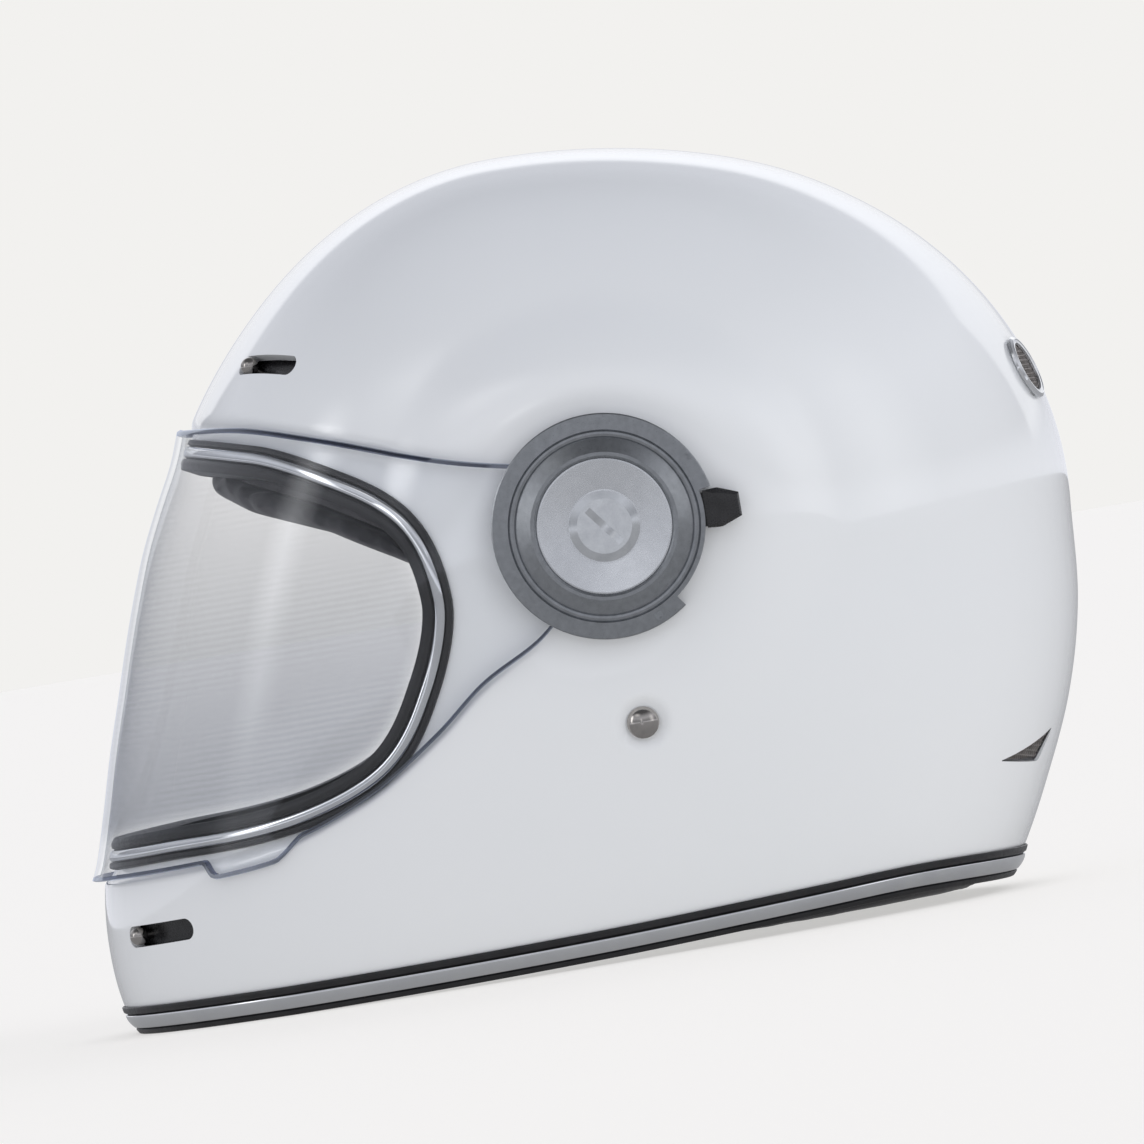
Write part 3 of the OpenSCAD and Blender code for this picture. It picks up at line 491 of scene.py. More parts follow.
def clear(name, tint, haze, gloss_color, painted_shade=None):
    """Clear sheet: it shows what is behind it, with a gloss that grows towards grazing angles.

    The last argument is a low and a high colour of painted shade for the part of the sheet that the attribute marks.
    It is darker towards the bottom and crossed by faint bands, and stands in for the dark inside seen through the
    sheet.
    """
    m = bpy.data.materials.new(name)
    m.use_nodes = True
    t = m.node_tree
    t.nodes.remove(t.nodes["Principled BSDF"])
    out = t.nodes["Material Output"]
    co = chain(t, "ShaderNodeTexCoord").outputs["Object"]
    fr = chain(t, "ShaderNodeFresnel", IOR=1.5)
    smear = chain(t, "ShaderNodeTexNoise", Scale=45.0, Detail=5.0)
    t.links.new(co, smear.inputs["Vector"])
    front_ = chain(t, "ShaderNodeMath", operation="SUBTRACT")
    front_.inputs[0].default_value = 1.0
    t.links.new(chain(t, "ShaderNodeNewGeometry").outputs["Backfacing"], front_.inputs[1])
    once = chain(t, "ShaderNodeMath", operation="MULTIPLY")
    t.links.new(fr.outputs["Fac"], once.inputs[0])
    t.links.new(front_.outputs["Value"], once.inputs[1])
    add = chain(t, "ShaderNodeMath", operation="ADD", use_clamp=True)
    t.links.new(once.outputs["Value"], add.inputs[0])
    t.links.new(ranged(t, smear.outputs["Fac"], haze * 0.6, haze * 1.4), add.inputs[1])
    tr = chain(t, "ShaderNodeBsdfTransparent", Color=(*tint, 1))
    # Painted shade: the sheet's see-through colour is made darker towards the bottom where the attribute marks it.
    if painted_shade:
        pos = chain(t, "ShaderNodeSeparateXYZ")
        t.links.new(co, pos.inputs["Vector"])
        ramp = chain(t, "ShaderNodeValToRGB")
        t.links.new(ranged(t, pos.outputs["Z"], 0, 1, 0.06, 0.19), ramp.inputs["Fac"])
        ramp.color_ramp.elements[0].color = (*painted_shade[0], 1)
        ramp.color_ramp.elements[1].color = (*painted_shade[1], 1)
        inside = chain(t, "ShaderNodeAttribute", attribute_name="eyeport_shade_part")
        mixc = chain(t, "ShaderNodeMix", data_type="RGBA")
        t.links.new(inside.outputs["Fac"], mixc.inputs["Factor"])
        mixc.inputs["A"].default_value = (*tint, 1)
        lines = chain(t, "ShaderNodeTexWave", bands_direction="Z", Scale=WAVE / 2.1, Distortion=1.2)
        t.links.new(co, lines.inputs["Vector"])
        fade = chain(t, "ShaderNodeVectorMath", operation="SCALE")
        t.links.new(ramp.outputs["Color"], fade.inputs[0])
        t.links.new(ranged(t, lines.outputs["Fac"], 0.985, 1.0, 0.0, 1.0), fade.inputs["Scale"])
        t.links.new(fade.outputs["Vector"], mixc.inputs["B"])
        t.links.new(mixc.outputs["Result"], tr.inputs["Color"])
    gl = chain(t, "ShaderNodeBsdfGlossy", Color=(*gloss_color, 1))
    fine = chain(t, "ShaderNodeTexNoise", Scale=300.0, Detail=3.0)
    t.links.new(co, fine.inputs["Vector"])
    t.links.new(ranged(t, fine.outputs["Fac"], 0.015, 0.05), gl.inputs["Roughness"])
    mx = chain(t, "ShaderNodeMixShader")
    t.links.new(add.outputs["Value"], mx.inputs["Fac"])
    t.links.new(tr.outputs["BSDF"], mx.inputs[1])
    t.links.new(gl.outputs["BSDF"], mx.inputs[2])
    t.links.new(mx.outputs["Shader"], out.inputs["Surface"])
    return m


# The visor's clear sheet, with painted shade over the eyeport: grey at the bottom, fading to clear at the top.
CLEAR = clear("clear_visor", (0.985, 0.988, 0.992), 0.004, (0.9, 0.92, 0.95),
              ((0.80, 0.81, 0.83), (0.99, 0.99, 0.995)))
# Painted shade: a dark bluish see-through colour on the sheet's edges stands in for the dark line that a clear edge
# shows.
EDGE_SHADE = clear("visor_edge_shade", (0.10, 0.12, 0.20), 0.16, (0.75, 0.8, 0.9))

# ---------------------------------------------------------------- shell
RIVET_AT, DIMPLE, DIMPLE_R, DIMPLE_FADE = (17.4, 75), 2.0, 4.6, 5.0    # the hollow round each strap rivet
EYE_U = np.linspace(0, EYE_LEN, 121)


def eye_frames(u):
    u = np.asarray(u, float)
    def pt(w):
        a = np.abs(w)
        return np.sign(w) * curve(EYEPORT, a, 1) + (w == 0) * curve(EYEPORT, a, 1), level(curve(EYEPORT, a, 2))
    t, s = pt(u)
    n, p = normal(t, s), skin(t, s)
    ahead, behind = skin(*pt(u + 1)), skin(*pt(u - 1))
    run = unit(ahead - behind)
    return p, np.cross(n, run), n


def eye_sections(profile, stations=300):
    u = -EYE_LEN + 2 * EYE_LEN * np.arange(stations) / stations + 0.37
    p, out, n = eye_frames(np.where(np.abs(u) > EYE_LEN - 1.01, np.sign(u) * (EYE_LEN - 1.01), u))
    return [[p[i] + k[0] * out[i] + k[1] * n[i] for k in profile] for i in range(stations)]


def eye_prism(grow):
    p, out, n = eye_frames(np.clip(EYE_U, 0, EYE_LEN - 1.01))
    q = p + grow * out
    side = [(float(a[1]), float(a[2])) for a in q]
    ring2 = [(-200, side[0][1])] + side + [(-200, side[-1][1])]
    return prism([(-140, y, z) for y, z in ring2], [(140, y, z) for y, z in ring2])


def columns():
    out, t = [], 0.0
    while t < 180 - 1e-6:
        out.append(t)
        t += 0.4 if 80 <= t < 104 else (0.6 if 50 <= t < 80 else 1.0)
    left = np.array(out)
    return np.concatenate([left, [180.0], 360 - left[:0:-1]])


def shell_mesh():
    t = columns()
    low = 3 + rim_z(base(t, 5.0)[:, 1])
    k_low = np.concatenate([np.linspace(0, 0.36, 22)[:-1], np.linspace(0.36, 1, 84)])[:-1]
    k_dome = np.concatenate([np.linspace(0, 32, 46)[:-1], np.linspace(32, 89, 52)])
    outer = [skin(t, low + (WIDEST - low) * k) for k in k_low]
    outer = np.array(outer + [skin(t, np.full_like(t, WIDEST + a)) for a in k_dome])
    for side in (1, -1):
        r = np.hypot(outer[..., 1] - RIVET_AT[0], outer[..., 2] - RIVET_AT[1])
        dip = DIMPLE * (1 - smooth((r - DIMPLE_R) / DIMPLE_FADE)) * (np.sign(outer[..., 0]) == side)
        outer[..., 0] -= side * dip
    inner = [skin(t, low + (WIDEST - low) * k, WALL) for k in np.linspace(0, 1, 30)[:-1]]
    inner = np.array(inner + [skin(t, np.full_like(t, WIDEST + a), WALL) for a in np.linspace(0, 88, 30)])
    n, a, b = len(t), len(outer), len(inner)
    tops = [[0, 0, WIDEST + DOME], [0, 0, WIDEST + DOME - WALL]]
    v = np.concatenate([outer.reshape(-1, 3), inner.reshape(-1, 3), tops])
    f = grid_faces(a, n, closed=True)
    f += grid_faces(b, n, closed=True, flip=True, start=a * n)
    top, inn = (a - 1) * n, a * n + (b - 1) * n
    for j in range(n):
        m = (j + 1) % n
        f.append((top + j, top + m, len(v) - 2))
        f.append((inn + m, inn + j, len(v) - 1))
        f.append((m, j, a * n + j, a * n + m))
    return v, f


ARCS = {
    "chin": ((-159.2, 32.4), (-137.3, 32.9)),
    "brow": ((-92.3, 210.4), (-74.4, 206.9)),
}


def arc_of(slot):
    (y0, z0), (y1, z1) = slot
    ym, zm = (y0 + y1) / 2, (z0 + z1) / 2
    a, b = skin_at(y0, z0), skin_at(y1, z1)
    chord = b - a
    e, n0 = unit(chord), normal_at(ym, zm)
    n = unit(n0 - np.dot(n0, e) * e)
    h = np.dot(skin_at(ym, zm) - (a + b) / 2, n)
    r = (np.dot(chord, chord) / 4 + h * h) / (2 * h)
    c = (a + b) / 2 + (h - r) * n
    axis = unit(np.cross(a - c, b - c))
    return c, axis, r, 2 * math.asin(np.linalg.norm(chord) / 2 / r), n, np.cross(axis, n)


def slot_prism(slot, half=3.5):
    c, axis, r, angle, n, y = arc_of(slot)
    end = angle / 2 - half / r
    ring2 = []
    for middle_, first in ((end, -math.pi / 2), (-end, math.pi / 2)):
        ring2 += [(middle_ + half / r * math.cos(q), half * math.sin(q)) for q in np.linspace(first, first + math.pi, 17)]

    def at(rr):
        return [c + rr * (math.cos(a) * n + math.sin(a) * y) + h * axis for a, h in ring2]
    return prism(at(r - 8), at(r + 6))


GRILLE = ((130, 42.6), (149.6, 50.4), (142.8, 40.2))
GRILLE_MID = (141, 44.6)
VENT = (160.2, 167.6)


def grille_corners(grow=0.0, per=5):
    """Rounded triangle in the frame of the grille's middle."""
    p, u, v, n = frame_at(*GRILLE_MID)
    c = [np.array([np.dot(skin_at(*g) - p, u), np.dot(skin_at(*g) - p, v)]) for g in GRILLE]
    mid = sum(c) / 3
    out = []
    for i in range(3):
        a, b, d = c[i - 1], c[i], c[(i + 1) % 3]
        ia, ib = (a - b) / np.linalg.norm(a - b), (d - b) / np.linalg.norm(d - b)
        for k in np.linspace(0, 1, per):
            q = (1 - k) ** 2 * (b + 1.6 * ia) + 2 * k * (1 - k) * b + k * k * (b + 1.6 * ib)
            out.append(q + grow * (q - mid) / np.linalg.norm(q - mid))
    return out, (p, u, v, n)


def local(fr, x, y, z):
    p, u, v, n = fr
    return p + x * u + y * v + z * n


def both(verts):
    return [verts, [[-p[0], p[1], p[2]] for p in verts]]


v, f = shell_mesh()
shell = piece("shell_outer", v, f, WHITE, sharp=40, replaces=["outer_shell"])
outward(shell)
cutters = [eye_prism(0.6)]
for slot in ARCS.values():
    pv, pf = slot_prism(slot)
    cutters += [(w, pf) for w in both(pv)]
vent_frame = frame_at(*VENT)
disc = [(9.6 * math.cos(a), 9.6 * math.sin(a)) for a in np.linspace(0, 2 * math.pi, 49)[:-1]]
pv, pf = prism([local(vent_frame, x, y, -12) for x, y in disc], [local(vent_frame, x, y, 8) for x, y in disc])
cutters += [(w, pf) for w in both(pv)]
tri, tri_frame = grille_corners()
pv, pf = prism([local(tri_frame, x, y, -12) for x, y in tri], [local(tri_frame, x, y, 12) for x, y in tri])
cutters += [(w, pf) for w in both(pv)]
cut(shell, cutters)
shade(shell, 38)

# ---------------------------------------------------------------- trims


def trim(name, sections, mat_, node):
    """A closed ring swept through sections."""
    verts = [p for row in sections for p in row]
    outward(piece(name, verts, loops(sections, True), mat_, sharp=50, replaces=[node]))


def arch(points, n=3):
    """Rounds a closed profile's corners with a short quadratic at each."""
    out = []
    p = [np.array(q, float) for q in points]
    for i in range(len(p)):
        a, b, c = p[i - 1], p[i], p[(i + 1) % len(p)]
        la, lc = np.linalg.norm(a - b), np.linalg.norm(c - b)
        k = min(0.45, 0.35 / max(la, 1e-6)), min(0.45, 0.35 / max(lc, 1e-6))
        q0, q1 = b + k[0] * (a - b), b + k[1] * (c - b)
        for s in np.linspace(0, 1, n):
            out.append((1 - s) ** 2 * q0 + 2 * s * (1 - s) * b + s * s * q1)
    return out


EYE_SEAL = [[6.8, 0.1], [6.5, 1.6], [4.8, 1.8], [4.7, 0.7], [0.1, 0.7], [-0.1, 1.7], [-1.8, 2.0], [-3.8, 1.2],
            [-3.8, -5.4], [3, -5.5], [3, -3.9], [-1.3, -3.9], [-1.3, 0.1]]
EYE_CHROME = [[0.3, 0.8], [4.4, 0.8], [4.15, 1.55], [3.3, 2.0], [2.3, 2.1], [1.3, 1.95], [0.6, 1.5]]
trim("eyeport_seal", eye_sections(arch(EYE_SEAL)), RUBBER, "eyeport_gasket")
trim("eyeport_chrome", eye_sections(arch(EYE_CHROME)), CHROME, "eyeport_trim")


def rim_sections(profile, stations=360):
    t = -360 * np.arange(stations) / stations
    lift = rim_z(base(t, 5.0)[:, 1])
    run = base(t + 1, 5 + lift) - base(t - 1, 5 + lift)
    run[:, 2] = 0
    run = unit(run)
    out = np.stack([run[:, 1], -run[:, 0], np.zeros(stations)], -1)
    at = [base(t, lift + k[1]) + k[0] * out for k in profile]
    return [[q[i] for q in at] for i in range(stations)]


RIM_SEAL = [[0.15, 9.6], [1.1, 9.3], [1.4, 7.4], [0.6, 7], [0.6, 1.9], [1.5, 1.6], [1.3, 0], [-6, 0], [-6.2, 9],
            [-4.6, 9], [-4.4, 2.8], [0.15, 2.8]]
RIM_CHROME = [[0.7, 2], [0.7, 6.7], [1.35, 6.6], [1.75, 5.6], [1.9, 4.4], [1.75, 3.2], [1.4, 2.1]]
trim("rim_seal", rim_sections(arch(RIM_SEAL)), RUBBER, "rim_gasket")
trim("rim_chrome", rim_sections(arch(RIM_CHROME)), CHROME, "rim_trim")

# ---------------------------------------------------------------- visor


def tab_drop(t):
    return 5.5 * smooth((t - 41) / 3.5) * smooth((57 - t) / 3.5)


EDGE_H = 1.1                               # height of the painted dark line along the sheet's edges
EDGE_ROUND = np.array([0, 0, 0.45])        # how far the sheet's edges bulge
EDGE_REACH = 1.75                          # faces nearer than this to an edge get the painted dark edge material
HUB_R = 9.05                               # the sheet's bore on the hub
PAINTED_SHADE_FADE = 9                              # over which the painted shade fades in from the eyeport's outline


def visor_mesh(rows=46):
    out = []

    def section(points_at, low, high):
        zs = np.concatenate([[low], np.linspace(low + EDGE_H, high - EDGE_H, rows - 1), [high]])
        o, i = points_at(zs, 0.0), points_at(zs, V_WALL)
        top = [o[-1] * 0.5 + i[-1] * 0.5 + EDGE_ROUND]
        bot = [o[0] * 0.5 + i[0] * 0.5 - EDGE_ROUND]
        return list(o) + top + list(i[::-1]) + bot

    def ear(side, a):
        y, c = PIVOT[0] + EAR_R * math.sin(a), EAR_R * math.cos(a)

        def flat(zs, d):
            return np.stack([np.full_like(zs, side * (EAR_X + V_WALL - d)), np.full_like(zs, y), zs], -1)
        return section(flat, PIVOT[1] - c, PIVOT[1] + c)

    angles = [math.radians(a) for a in np.linspace(-28, 84, 29)]
    out += [ear(-1, a) for a in reversed(angles)]
    for t in np.linspace(-87, 87, 291):
        a = abs(t)
        low, high = float(curve(VISOR_LOW, a) - tab_drop(t)), float(curve(VISOR_TOP, a))
        out.append(section(lambda zs, d: visor_pt(np.full_like(zs, t), zs, d), low, high))
    out += [ear(1, a) for a in angles]
    return out


sec = visor_mesh()
visor = piece("visor_sheet", [p for r in sec for p in r], loops(sec), CLEAR, body="visor", sharp=50,
              replaces=["visor"])
visor.data.materials.append(EDGE_SHADE)
outward(visor)
bore = [(HUB_R * math.cos(a), HUB_R * math.sin(a)) for a in np.linspace(0, 2 * math.pi, 65)[:-1]]
cut(visor, [prism(*[[(x, PIVOT[0] + a, PIVOT[1] + b) for a, b in bore] for x in ends])
            for ends in ((110, 135), (-135, -110))])
shade(visor, 50)


def mark_clear_part(ob):
    """Marks where the sheet gets its painted shade: the part that covers the eyeport at rest, seen from the side. The
    mark moves with it.
    """
    outline = [(float(p[1]), float(p[2])) for p in eye_frames(np.clip(EYE_U, 0, EYE_LEN - 1.01))[0]]
    outline = np.array([(-210, outline[0][1])] + outline + [(-210, outline[-1][1])])
    mark = ob.data.attributes.new("eyeport_shade_part", "FLOAT", "POINT")
    at = np.empty(len(ob.data.vertices) * 3)
    ob.data.vertices.foreach_get("co", at)
    at = at.reshape(-1, 3)[:, 1:] / MM
    inside, near = np.zeros(len(at), bool), np.full(len(at), 1e9)
    for p, q in zip(outline, np.roll(outline, -1, 0)):
        crossing = (q[0] - p[0]) * (at[:, 1] - p[1]) / (q[1] - p[1] + 1e-12) + p[0]
        inside ^= ((p[1] > at[:, 1]) != (q[1] > at[:, 1])) & (at[:, 0] < crossing)
        e = q - p
        k = np.clip(((at - p) @ e) / max(e @ e, 1e-9), 0, 1)
        near = np.minimum(near, np.linalg.norm(at - p - k[:, None] * e, axis=1))
    mark.data.foreach_set("value", np.where(inside, smooth(near / PAINTED_SHADE_FADE), 0.0))


def darken_edges(ob, sections):
    """Gives the sheet's top and bottom edges the second material, a painted dark line along the edge."""
    rims = [p for row in sections for p in (row[len(row) // 2 - 1], row[-1])]
    tree = KDTree(len(rims))
    for k, p in enumerate(rims):
        tree.insert(Vector(p) * MM, k)
    tree.balance()
    for poly in ob.data.polygons:
        if tree.find(poly.center)[2] < EDGE_REACH * MM:
            poly.material_index = 1


mark_clear_part(visor)
darken_edges(visor, sec)

# ---------------------------------------------------------------- padded pieces


def pad(name, node, mat_, voxel=5.0, shrink=2.4, cap=3.4, groove=None, force=4.0):
    """A cushion from a CAD solid: remeshed, shrunk, blown up by a cloth simulation, smoothed, then seamed."""
    ob = link(name, NODES[node].data.copy())
    ob.data.materials.clear()
    ob.data.materials.append(mat_)
    m = ob.modifiers.new("remesh", "REMESH")
    m.mode, m.voxel_size, m.use_smooth_shade = "VOXEL", voxel * MM, True
    ob.data = baked(ob)
    ob.modifiers.clear()
    me = ob.data
    n = len(me.vertices)
    rest = np.empty(n * 3)
    me.vertices.foreach_get("co", rest)
    rest = rest.reshape(-1, 3)
    nor = np.empty(n * 3)
    me.vertex_normals.foreach_get("vector", nor)
    start = rest - nor.reshape(-1, 3) * shrink * MM
    me.vertices.foreach_set("co", start.ravel())
    me.update()
    c = ob.modifiers.new("cloth", "CLOTH")
    c.settings.quality = 4
    c.settings.mass = 0.3
    c.settings.use_pressure = True
    c.settings.uniform_pressure_force = force
    c.settings.tension_stiffness = c.settings.compression_stiffness = 12
    c.settings.bending_stiffness = 0.4
    c.settings.effector_weights.gravity = 0
    c.collision_settings.use_collision = False
    c.point_cache.frame_start, c.point_cache.frame_end = 1, 20
    for k in range(1, 21):
        bpy.context.scene.frame_set(k)
    new = baked(ob)
    moved = np.empty(n * 3)
    new.vertices.foreach_get("co", moved)
    step = moved.reshape(-1, 3) - start
    size = np.linalg.norm(step, axis=1, keepdims=True)
    step *= np.minimum(1, cap * MM / np.maximum(size, 1e-9))
    ob.modifiers.clear()
    bpy.data.meshes.remove(new)
    me.vertices.foreach_set("co", (start + step).ravel())
    bpy.context.scene.frame_set(1)
    me.update()
    s = ob.modifiers.new("smooth", "SUBSURF")
    s.levels = s.render_levels = 1
    ob.data = baked(ob)
    ob.modifiers.clear()
    me = ob.data
    if groove:
        n = len(me.vertices)
        co, nor = np.empty(n * 3), np.empty(n * 3)
        me.vertices.foreach_get("co", co)
        me.vertex_normals.foreach_get("vector", nor)
        co, nor = co.reshape(-1, 3), nor.reshape(-1, 3)
        depth = groove(co / MM)
        me.vertices.foreach_set("co", (co - nor * (depth * MM)[:, None]).ravel())
        me.update()
    if not me.materials or me.materials[0] is not mat_:
        me.materials.clear()
        me.materials.append(mat_)
    dress(ob, "shell", sharp=None, replaces=[node])


def line(dist, width, depth):
    return depth * np.exp(-(dist / width) ** 2)


def brow_seam(p):
    return line(p[:, 0], 2.2, 1.0) + line(np.abs(p[:, 0]) - 55, 2.2, 0.9)


def cheek_seam(p):
    y, z = p[:, 1], p[:, 2]
    border = np.minimum.reduce([y + 36, 55 - y, z - 26, 76 - z])
    return line(border, 2.4, 1.3) * (np.abs(p[:, 0]) < 75)


def crown_seam(p):
    return line(np.abs(p[:, 0]) - 34, 2.6, 1.2) + line(p[:, 2] - 96, 2.4, 1.0)


def roll_seam(p):
    return line(p[:, 2] - 5.0, 1.6, 1.3) + 0.12 * np.sin(p[:, 0] / 5.1) * np.sin(p[:, 1] / 5.7)


pad("brow_lining", "brow_pad", SUEDE, voxel=4, shrink=0.8, cap=1.4, groove=brow_seam)
pad("crown_lining", "comfort_crown_liner", KNIT, voxel=6, shrink=2.2, cap=3.2, groove=crown_seam)
pad("cheek_lining_left", "cheek_pad_left", KNIT, voxel=5, shrink=2.6, cap=4.0, groove=cheek_seam)
pad("cheek_lining_right", "cheek_pad_right", KNIT, voxel=5, shrink=2.6, cap=4.0, groove=cheek_seam)
pad("neck_lining", "neck_roll", SUEDE, voxel=4, shrink=1.6, cap=2.2, groove=roll_seam)

# ---------------------------------------------------------------- straps
STRAP = [[112.6, 83], [112.4, 75], [108, 50], [101.6, 30], [98.2, 19], [91, 13.4], [66, 13], [57.5, 16],
         [55.6, 24]]
STRAP_Y, STRAP_W, STRAP_T = 17.4, 26.0, 1.8


def rounded_path(points, step=1.2):
    """The path with its corners eased, in even steps."""
    p = np.array(points, float)
    for _ in range(3):
        q = [p[0]]
        for a, b in zip(p[:-1], p[1:]):
            q += [0.78 * a + 0.22 * b, 0.22 * a + 0.78 * b]
        p = np.array(q + [p[-1]])
    seg = np.concatenate([[0], np.cumsum(np.linalg.norm(np.diff(p, axis=0), axis=1))])
    s = np.linspace(0, seg[-1], max(3, int(seg[-1] / step)))
    return np.stack([np.interp(s, seg, p[:, k]) for k in range(p.shape[1])], -1)


def band(path, width, thick, y0, edge=0.7):
    """Flat webbing along [x, z], its edges rounded and slightly thicker than its middle."""
    d = unit(np.gradient(path, axis=0))
    nrm = np.stack([-d[:, 1], d[:, 0]], -1)
    prof = []
    w, h = width / 2, thick / 2
    for y in np.linspace(-w + edge, w - edge, 13):
        prof.append((y, h * (0.86 + 0.14 * abs(math.sin(y * 1.45)))))
    for a in np.linspace(70, -70, 6):
        prof.append((w - edge + edge * math.cos(math.radians(a)), h * math.sin(math.radians(a))))
    back_ = [(y, -z) for y, z in reversed(prof[:13])]
    prof = prof + back_
    for a in np.linspace(-70, 70, 6):
        prof.append((-w + edge - edge * math.cos(math.radians(a)), h * math.sin(math.radians(a))))
    return [[(at[0] + o * n[0], y0 + y, at[1] + o * n[1]) for y, o in prof] for at, n in zip(path, nrm)]


def stitch(points, normals, length=2.2, gap=1.0, r=0.22, lift=0.12):
    """A row of thread stitches lying on a surface."""
    parts = []
    p = np.array(points, float)
    seg = np.concatenate([[0], np.cumsum(np.linalg.norm(np.diff(p, axis=0), axis=1))])
    s = 0.4
    while s + length < seg[-1]:
        q = []
        for k in np.linspace(0, 1, 5):
            pt = np.array([np.interp(s + k * length, seg, p[:, c]) for c in range(3)])
            nn = unit(np.array([np.interp(s + k * length, seg, normals[:, c]) for c in range(3)]))
            q.append(pt + nn * (lift + 0.16 * math.sin(math.pi * k) - 0.1))
        parts.append(tube(q, [r * 0.6, r, r, r, r * 0.6], 6))
        s += length + gap
    return gather(parts)


def strap_piece(side):
    right = side == "right"
    path = rounded_path(STRAP + [[55.6, 34], [55.6, 46], [55.6, 58]])
    parts = []
    s = band(path, STRAP_W, STRAP_T, STRAP_Y)
    parts.append((s, loops(s)))
    if right:
        flap = rounded_path([[53.3, 42], [53.1, 46], [53.1, 52], [53.5, 57.2], [54.6, 58.6]], 1.0)
        s = band(flap, STRAP_W, STRAP_T, STRAP_Y)
        parts.append((s, loops(s)))
    else:
        a = np.linspace(math.radians(-28), math.radians(322), 56)
        loop = np.stack([49.9 + 4.95 * np.cos(a), 60 + 4.95 * np.sin(a)], -1)
        s = band(loop, 22, 1.4, STRAP_Y)
        parts.append((s, loops(s)))
    v_, f_ = gather(parts)
    ob = piece("strap_" + side, v_, f_, WEBBING, sharp=60, replaces=["chin_strap_" + side],
               mirror=right)
    outward(ob)
    rows_ = []
    inner = path[path[:, 1] > 30]
    for y in (STRAP_Y - 9.5, STRAP_Y + 9.5):
        up_ = inner[inner[:, 0] < 60]
        pts = np.stack([up_[:, 0] - 0.9, np.full(len(up_), y), up_[:, 1]], -1)
        rows_.append(stitch(pts, np.tile([-1.0, 0, 0], (len(pts), 1))))
    for z in (36.0, 41.0):
        ys = np.linspace(STRAP_Y - 9.5, STRAP_Y + 9.5, 12)
        pts = np.stack([np.full(12, 54.7), ys, np.full(12, z)], -1)
        rows_.append(stitch(pts, np.tile([-1.0, 0, 0], (12, 1))))
    v_, f_ = gather([(list(map(list, a_)), b_) for a_, b_ in rows_])
    ob = piece("strap_stitching_" + side, v_, f_, THREAD, sharp=None, mirror=right)
    outward(ob)


for side in ("left", "right"):
    strap_piece(side)

# ---------------------------------------------------------------- rear meshes


def woven(inside, pitch, r, z0, angle, span):
    """Two crossed sets of waved wires, clipped to a region: a list of tubes in local coordinates."""
    parts = []
    c, s = math.cos(angle), math.sin(angle)
    for family in (0, 1):
        k = -int(span / pitch)
        while k * pitch <= span:
            run = []
            x = -span
            while x <= span:
                a, b = (x, k * pitch) if family == 0 else (k * pitch, x)
                wave = math.cos(math.pi * (x / pitch + k)) * (1 if family == 0 else -1)
                q = (a * c - b * s, a * s + b * c)
                if inside(q):
                    run.append((q[0], q[1], z0 + 0.8 * r * wave))
                else:
                    if len(run) > 2:
                        parts.append(run)
                    run = []
                x += pitch / 4
            if len(run) > 2:
                parts.append(run)
            k += 1
    return parts


def mesh_piece(name, runs, fr, r, mirror, node):
    v_, f_ = gather([tube([local(fr, *q) for q in run], r, 5) for run in runs])
    ob = piece(name, v_, f_, WIRE, sharp=None, replaces=[node], mirror=mirror)
    outward(ob)


def in_polygon(poly):
    p = np.array(poly)
    def test(q):
        a, b = p, np.roll(p, -1, 0)
        cr = (b[:, 0] - a[:, 0]) * (q[1] - a[:, 1]) - (b[:, 1] - a[:, 1]) * (q[0] - a[:, 0])
        return bool(np.all(cr > 0) or np.all(cr < 0))
    return test


vent_runs = woven(lambda q: math.hypot(*q) < 8.5, 1.15, 0.2, 0.05, math.radians(45), 9)
tri_in, _ = grille_corners(-0.1)
tri_mid = np.mean(tri_in, 0)
in_tri = in_polygon(tri_in)
tri_runs = woven(lambda q: in_tri((q[0] + tri_mid[0], q[1] + tri_mid[1])), 1.25, 0.22, -2.0, math.radians(38), 19)
tri_runs = [[(x + tri_mid[0], y + tri_mid[1], z) for x, y, z in run] for run in tri_runs]
frame_loop = [(x, y, -1.9) for x, y in grille_corners(-0.35, 7)[0]]
for side, mirror in (("left", False), ("right", True)):
    mesh_piece("rear_vent_wire_" + side, vent_runs, vent_frame, 0.2, mirror, "rear_vent_mesh_" + side)
    mesh_piece("rear_grille_wire_" + side, tri_runs, tri_frame, 0.22, mirror, "rear_grille_" + side)
    s_, f_ = tube([local(tri_frame, *q) for q in frame_loop], 0.5, 8, closed=True)
    ob = piece("rear_grille_frame_" + side, [p for row in s_ for p in row], f_, BLACK,
               sharp=None, mirror=mirror)
    outward(ob)
    ring_runs = []
    for rr, z0, thick in ((9.95, 1.25, 0.42), (8.75, 1.05, 0.32)):
        a = np.linspace(0, 2 * math.pi, 73)[:-1]
        circle = [local(vent_frame, rr * math.cos(q), rr * math.sin(q), z0) for q in a]
        ring_runs.append(tube(circle, thick, 8, closed=True))
    v_, f_ = gather(ring_runs)
    ob = piece("rear_vent_beads_" + side, v_, f_, CHROME, sharp=None, mirror=mirror)
    outward(ob)

# ---------------------------------------------------------------- materials of the CAD nodes that stay
FINISH = {
    "eps_": FOAM, "pivot_insert": STEEL, "pivot_base": BLACK, "pivot_cover": COVER, "pivot_washer": STEEL,
    "pivot_dish": SPUN, "pivot_screw": STEEL, "lock_lever": BLACK, "base_screws": STEEL, "strap_rivets": RIVET,
    "strap_anchor": STEEL, "d_ring": CHROME, "strap_snap": RIVET, "chin_vent_slider": BLACK,
    "brow_vent_slider": BLACK, "chin_vent_knob": RIVET, "brow_vent_knob": RIVET, "chin_vent_track": BLACK,
    "brow_vent_track": BLACK, "rear_vent_ring": CHROME,
}
for name, ob in NODES.items():
    for key, mat_ in FINISH.items():
        if name.startswith(key):
            if not ob.material_slots:
                ob.data.materials.append(mat_)
            for held in ob.material_slots:
                held.material = mat_

